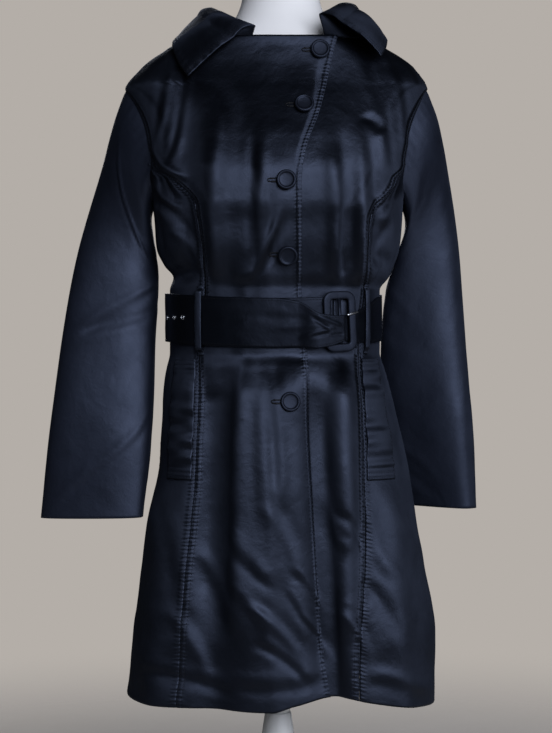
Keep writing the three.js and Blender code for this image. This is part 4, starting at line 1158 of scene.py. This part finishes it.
belt = shell(show("belt_cloth", grid_mesh("belt", belt_points), crosswise, "sateen", "belt"), BELT_WALL)
size, area = flat_size(smooth)
belt_lines = [line_across(belt_points, BELT_STITCH_IN, side) for side in (0, 1)]
belt_thread = stitches("stitching_belt", belt_lines, radius=0.4)
print("belt", size, area)

# %% [markdown]
# ## Belt loops and pocket welts
# The loops are narrow strips sewn to the coat above and below the belt. The welts are upright patches beside
# the front seams; each is topstitched twice across its ends and round its free edge.

# %% Loops
LOOP_WIDTH = 9
for name, x, cover in (("belt_loop_right", -104, 7.8), ("belt_loop_left", 119, 4.2)):
    middle = float(angle_at(np.array(float(x)), BELT_LEVEL))
    reach = BELT_HALF + 5
    path = rows_of("up out", [
        (-reach - 9, 1), (-reach - 5, 1.2), (-reach, cover), (0, cover + 0.6),
        (reach, cover), (reach + 5, 1.2), (reach + 9, 1),
    ])
    up = np.linspace(-reach - 9, reach + 9, 61)[:, None]
    side = np.linspace(-1, 1, 7)[None] * LOOP_WIDTH / 2 / MEAN_RADIUS * 180 / math.pi
    z = belt_height(middle) + up + 0 * side
    off = read(path, "up", "out", up) + 1.2 + 0.25 * lattice(up / 9, side, 71)
    on_coat = np.abs(up) > reach + 1
    plain = body_point(middle + side + 0 * up, BELT_LEVEL, off + 0 * side, False)
    folded = body_point(middle + side + 0 * up, z, off + 0 * side, True)
    points = np.where(on_coat[..., None], folded, plain)
    points[..., 2] = z
    smooth = points
    points = relief(points, 1.1 * (1 - (side / side.max()) ** 2) + 0 * up)
    obj = shell(show(name + "_cloth", grid_mesh(name, points), sateen, "sateen", name), 1.2)
    size, area = flat_size(smooth)

# %% Welts
WELT = {"from_seam": 3, "width": 40, "top": 892, "bottom": 730, "out": 1.1, "wall": 2}
WELT_END_ROWS = (2.5, 9, 15)
for name, side, seam_table in (("pocket_welt_right", -1, SEAM_RIGHT), ("pocket_welt_left", 1, SEAM_LEFT)):
    z = np.linspace(WELT["bottom"], WELT["top"], 82)[:, None]
    start = angle_at(read(seam_table, "z", "x", z), z)
    across = np.linspace(0, 1, 25)[None]
    if side < 0:
        across = across[:, ::-1]
    degrees = start + side * (WELT["from_seam"] + WELT["width"] * across) / MEAN_RADIUS * 180 / math.pi
    z = z + 0 * across
    lift = WELT["out"] + WELT["wall"]
    smooth = body_point(degrees, z, lift)
    from_end = np.minimum(z - WELT["bottom"], WELT["top"] - z)
    bow = 1.4 * np.sin(np.pi * np.clip(across, 0, 1)) * ramp(12, 30, from_end)
    rows = sum(-0.9 * bell(from_end - at, 1.6) for at in WELT_END_ROWS)
    puckers = 2.2 * lattice(across * 1.3, z / 11, 81 + side) * ramp(12, 22, from_end)
    points = relief(smooth, detail_out(degrees, z) * 0.8 + bow + rows + puckers + 0.3)
    obj = shell(show(name + "_cloth", grid_mesh(name, points), sateen, "sateen", name), WELT["wall"] * 0.8)
    size, area = flat_size(smooth)
    lines = [line_along(points, at, end) for at in WELT_END_ROWS[:2] for end in (0, 1)]
    lines += [line_across(points, 2.2, 1 if side > 0 else 0)]
    ({"obj": obj, "flat": size, "area": area, "held": "laid",
                   "with": [stitches("stitching_" + name, lines)]})

# %% [markdown]
# ## Covered buckle and its prong
# The buckle is a flat frame wrapped in the coat's cloth, so its edges are soft. The prong is bent nickel-plated
# wire, looped round the centre bar.

# %% Seats on the coat
def seat_matrix(x, z, out, tilt=0.0, folded=True):
    """A place on the coat, as a matrix for shapes drawn with their face toward -Y, in mm."""
    degrees = float(angle_at(np.array(float(x)), np.array(float(z))))
    spot = body_point(degrees, z, out, folded)
    wide = body_point(degrees + 4, z, out, folded) - body_point(degrees - 4, z, out, folded)
    rise = unit(body_point(degrees, z + 10, out, folded) - body_point(degrees, z - 10, out, folded))
    normal = unit(np.cross(wide, rise))
    side = unit(np.cross(rise, normal))
    up = unit(np.cross(normal, side))
    matrix = Matrix.Identity(4)
    for k in range(3):
        matrix[k][0], matrix[k][1], matrix[k][2], matrix[k][3] = side[k], -normal[k], up[k], spot[k]
    return Matrix.Scale(MM, 4) @ matrix @ Matrix.Rotation(math.radians(-tilt), 4, "Y")


def finish_mesh(bm, name, matrix):
    """Writes a bmesh drawn in mm to a smooth mesh, at its place."""
    bmesh.ops.recalc_face_normals(bm, faces=bm.faces)
    bmesh.ops.transform(bm, matrix=matrix, verts=bm.verts)
    mesh = bpy.data.meshes.new(name)
    bm.to_mesh(mesh)
    bm.free()
    mesh.polygons.foreach_set("use_smooth", np.ones(len(mesh.polygons), bool))
    return mesh


# %% Buckle
BUCKLE = {"x": 81, "width": 48, "height": 82, "bar": 11, "thick": 5, "out": 4.4, "corner": 14, "tilt": 3,
          "centre_bar": 5}


def buckle_mesh():
    """A rounded section swept round the frame's centre line, with the centre bar across it, in mm."""
    path_half_x = BUCKLE["width"] / 2 - BUCKLE["bar"] / 2
    path_half_z = BUCKLE["height"] / 2 - BUCKLE["bar"] / 2
    corner = BUCKLE["corner"] - BUCKLE["bar"] / 2
    path = []
    for cx, cz, begin in ((1, 1, 0), (-1, 1, 90), (-1, -1, 180), (1, -1, 270)):
        for step in range(9):
            a = math.radians(begin + step * 90 / 8)
            path.append(((cx * (path_half_x - corner) + corner * math.cos(a)),
                         (cz * (path_half_z - corner) + corner * math.sin(a)), a))
    dense = []
    for k, here in enumerate(path):
        after = path[(k + 1) % len(path)]
        gap = math.hypot(after[0] - here[0], after[1] - here[1])
        count = max(1, int(gap / 4))
        for s in range(count):
            f = s / count
            turn_on = after[2] - here[2]
            if k == len(path) - 1:
                turn_on = (turn_on + 2 * math.pi) % (2 * math.pi)
            dense.append((here[0] + (after[0] - here[0]) * f, here[1] + (after[1] - here[1]) * f,
                          here[2] + turn_on * f))
    dense.append(dense[0])
    path = np.array(dense)
    a = np.linspace(0, 2 * np.pi, 25)[None]
    wide = BUCKLE["bar"] / 2 * np.sign(np.cos(a)) * np.abs(np.cos(a)) ** 0.55
    deep = BUCKLE["thick"] / 2 * np.sign(np.sin(a)) * np.abs(np.sin(a)) ** 0.7
    x = path[:, 0:1] + np.cos(path[:, 2:3]) * wide
    z = path[:, 1:2] + np.sin(path[:, 2:3]) * wide
    y = -BUCKLE["thick"] / 2 + deep + 0 * x
    y = y + 0.25 * lattice(x / 9, z / 9, 91)
    mesh = grid_mesh("buckle", np.stack([x, y, z], -1), closed=True)
    bm = bmesh.new()
    bm.from_mesh(mesh)
    bmesh.ops.scale(bm, vec=(1 / MM, 1 / MM, 1 / MM), verts=bm.verts)
    bmesh.ops.remove_doubles(bm, verts=bm.verts, dist=1e-4)
    bar = bmesh.ops.create_cone(bm, segments=16, radius1=0.5, radius2=0.5, depth=1, cap_ends=True)
    bmesh.ops.scale(bm, vec=(BUCKLE["centre_bar"], BUCKLE["thick"] * 0.8, BUCKLE["height"] - BUCKLE["bar"]),
                    verts=bar["verts"])
    bmesh.ops.translate(bm, vec=(0, -BUCKLE["thick"] / 2, 0), verts=bar["verts"])
    return bm


buckle_seat = seat_matrix(BUCKLE["x"], BELT_MIDDLE + 2, BUCKLE["out"], BUCKLE["tilt"], False)
show("buckle_frame_covered", finish_mesh(buckle_mesh(), "buckle", buckle_seat), covered, "covered_fittings",
     "buckle_frame")

PRONG_RADIUS, PRONG_HALF, PRONG_TILT = 1.6, 7.5, 14
prong = bmesh.new()
rod = bmesh.ops.create_uvsphere(prong, u_segments=16, v_segments=12, radius=PRONG_RADIUS)["verts"]
for vert in rod:
    vert.co.x, vert.co.z = vert.co.z, vert.co.x
    vert.co.x += PRONG_HALF if vert.co.x > 0 else -PRONG_HALF
prong_seat = seat_matrix(94, BELT_MIDDLE + 13, BUCKLE["out"] + BUCKLE["thick"] + 3.6, PRONG_TILT, False)
show("prong", finish_mesh(prong, "prong", prong_seat), nickel, "bright_metal", "buckle_prong")

# %% [markdown]
# ## Buttons, buttonholes and eyelets
# The buttons are 27 mm metal shells covered in the coat's cloth, with a raised rim and a dished middle. A
# keyhole of close thread runs from under each toward the wearer's right. Three eyelets are pressed into the
# belt's tail.

# %% Buttons
BUTTONS = rows_of("x z", [
    (57, 1314), (35, 1234), (11, 1130), (13, 1032), (16, 835),
])
BUTTON_PROFILE = [(0, 0.1), (4.5, 0), (4.5, 1.8), (12.2, 2.1), (13.2, 2.9), (13.5, 3.8), (13.3, 4.7),
                  (12.6, 5.6), (11.6, 6.1), (10.6, 6.0), (9.8, 5.4), (9.2, 4.8), (8.4, 4.6), (6, 4.4),
                  (3, 4.25), (0, 4.2)]


def spun(profile, steps):
    """A profile of (radius, height) turned once round an axis that points toward -Y."""
    bm = bmesh.new()
    verts = [bm.verts.new((r, -h, 0)) for r, h in profile]
    edges = [bm.edges.new(pair) for pair in zip(verts, verts[1:])]
    bmesh.ops.spin(bm, geom=verts + edges, cent=(0, 0, 0), axis=(0, 1, 0), angle=2 * math.pi, steps=steps,
                   use_merge=True)
    bmesh.ops.remove_doubles(bm, verts=bm.verts, dist=1e-4)
    return bm


for number, row in enumerate(BUTTONS):
    mesh = finish_mesh(spun(BUTTON_PROFILE, 40), "button", seat_matrix(row["x"], row["z"], LAP + 0.4))
    show(f"button_{number + 1}_covered", mesh, covered, "covered_fittings", f"button_{number + 1}")

# %% Buttonholes
# A keyhole is a raised lip of close thread round a slit; its round end lies under the button.
HOLE_LENGTH, HOLE_HALF, HOLE_LIP, HOLE_THREADS = 29, 1.5, 1.15, 60
for number, row in enumerate(BUTTONS):
    a = np.linspace(0, 2 * np.pi, 73)[:, None]
    b = np.linspace(0, 2 * np.pi, 11)[None]
    reach = HOLE_LENGTH / 2
    centre_x = reach * np.sign(np.cos(a)) * np.abs(np.cos(a)) ** 0.35 - reach + 4
    centre_z = (HOLE_HALF + HOLE_LIP * 0.6) * np.sin(a)
    ribbed = HOLE_LIP * (1 + 0.16 * np.sign(np.sin(a * HOLE_THREADS)))
    out_x, out_z = np.cos(a) * 0.3, np.sin(a)
    x = centre_x + out_x * ribbed * np.cos(b)
    zz = centre_z + out_z * ribbed * np.cos(b) + 0 * b
    degrees = angle_at(row["x"] + x, row["z"] + zz)
    lift = lap_lift(degrees, row["z"] + zz) + detail_out(degrees, row["z"] + zz) + 0.2
    points = body_point(degrees, row["z"] + zz, lift + ribbed * 0.75 * np.sin(b))
    show(f"buttonhole_{number + 1}", grid_mesh("hole", points, closed=True), thread, "sateen")

# %% Eyelets
EYELETS_X = (-125, -137, -147)
EYELET_PROFILE = [(2.0, -0.4), (2.0, 0.5), (2.5, 0.9), (3.2, 0.8), (3.5, 0.2), (3.4, -0.4)]
for number, x in enumerate(EYELETS_X):
    bm = spun(EYELET_PROFILE, 24)
    mesh = finish_mesh(bm, "eyelet", seat_matrix(x, BELT_MIDDLE + 8, 5.2 + BELT_WALL + 0.5, 0, False))
    show(f"eyelet_{number + 1}_ring", mesh, nickel, "bright_metal", f"eyelet_{number + 1}")

# %% [markdown]
# ## Dress form and stand
# The form is a limbless figure covered in white jersey, smooth and whole, and it carries the coat on its
# shoulders. It stands on a pole and a trumpet foot; the foot lies below the photo's edge, so it is a plain one.

# %% Form
FORM_LOW, FORM_NECK, FORM_TOP, TOP_X = 730, 1340, 1441, 4
SHOULDER_REST = WALL + 0.6


def shoulder_half(z):
    """The form's half width, so that it lies just under the coat's shoulder."""
    low, high = read(COAT, "z", "right", z - 2), read(COAT, "z", "right", z + 2)
    slope = math.atan2(4, float(low - high))
    return float(read(COAT, "z", "right", z)) - SHOULDER_REST / math.sin(slope)


FORM = rows_of("z half front back x", [
    (730, 148, 98, 100, 0),
    (790, 148, 104, 108, 0),
    (860, 136, 98, 102, 0),
    (945, 118, 88, 86, 0),
    (1020, 128, 98, 90, 0),
    (1110, 148, 116, 100, 0),
    (1180, 158, 106, 102, 0),
    (1240, 168, 80, 86, 0),
    (1284, 168, 64, 64, 0),
    (1306, 160, 58, 58, 0),
    (1322, shoulder_half(1322), 56, 54, 0),
    (1337, shoulder_half(1337), 54, 50, 0),
    (1350, 86, 53, 46, 2),
    (1371, 66, 52, 44, 4),
    (1401, 55, 50, 42, 4),
    (1428, 53, 49, 42, 4),
    (1437, 48, 44, 38, 4),
    (1441, 34, 31, 27, 4),
])
z = np.concatenate([np.linspace(FORM_LOW, FORM_NECK, 90), np.linspace(FORM_NECK + 2, FORM_TOP, 50)])[:, None]
turn = np.linspace(0, 360, 97)[None]
c, s = np.cos(np.radians(turn)), np.sin(np.radians(turn))
deep = np.where(c > 0, read(FORM, "z", "front", z), read(FORM, "z", "back", z))
form_points = np.stack([read(FORM, "z", "x", z) + read(FORM, "z", "half", z) * s, -deep * c, z + 0 * s], -1)
bottom = form_points[:1] * [0, 0, 1] + 0
top = form_points[-1:] * [0, 0, 1] + [TOP_X, 0, 0.5]
form_points = np.concatenate([bottom, form_points, top])
form_mesh = grid_mesh("form", form_points, closed=True)
form = show("form_body", form_mesh, jersey, "form_cover", "dress_form")
bevel = form.modifiers.new("soft_edges", "BEVEL")
bevel.width = 0.003
bevel.segments = 3
bevel.limit_method = "ANGLE"

# %% Stand
FOOT_TOP, POLE_RADIUS = 392, 17
FOOT = [(0, 0), (178, 0), (180, 2), (180, 6), (178, 8), (150, 15), (126, 22), (105, 32), (86, 52), (72, 75),
        (62, 105), (54, 140), (47, 185), (42, 230), (36, 272), (30, 315), (22.5, 362), (18.6, 389),
        (17.2, FOOT_TOP), (0, FOOT_TOP)]
upright = Matrix.Scale(MM, 4) @ Matrix.Rotation(math.radians(-90), 4, "X")
foot_mesh = finish_mesh(spun(FOOT, 96), "foot", upright)
foot = show("foot", foot_mesh, white_paint, "stand_paint", "stand_foot")
pole = bmesh.new()
bmesh.ops.create_cone(pole, segments=48, radius1=POLE_RADIUS, radius2=POLE_RADIUS,
                      depth=FORM_LOW - FOOT_TOP - 2 * SEAM_GAP, cap_ends=True)
bmesh.ops.translate(pole, vec=(0, 0, (FORM_LOW + FOOT_TOP) / 2), verts=pole.verts)
pole_mesh = finish_mesh(pole, "pole", Matrix.Scale(MM, 4))
show("pole", pole_mesh, white_paint, "stand_paint", "stand_pole")
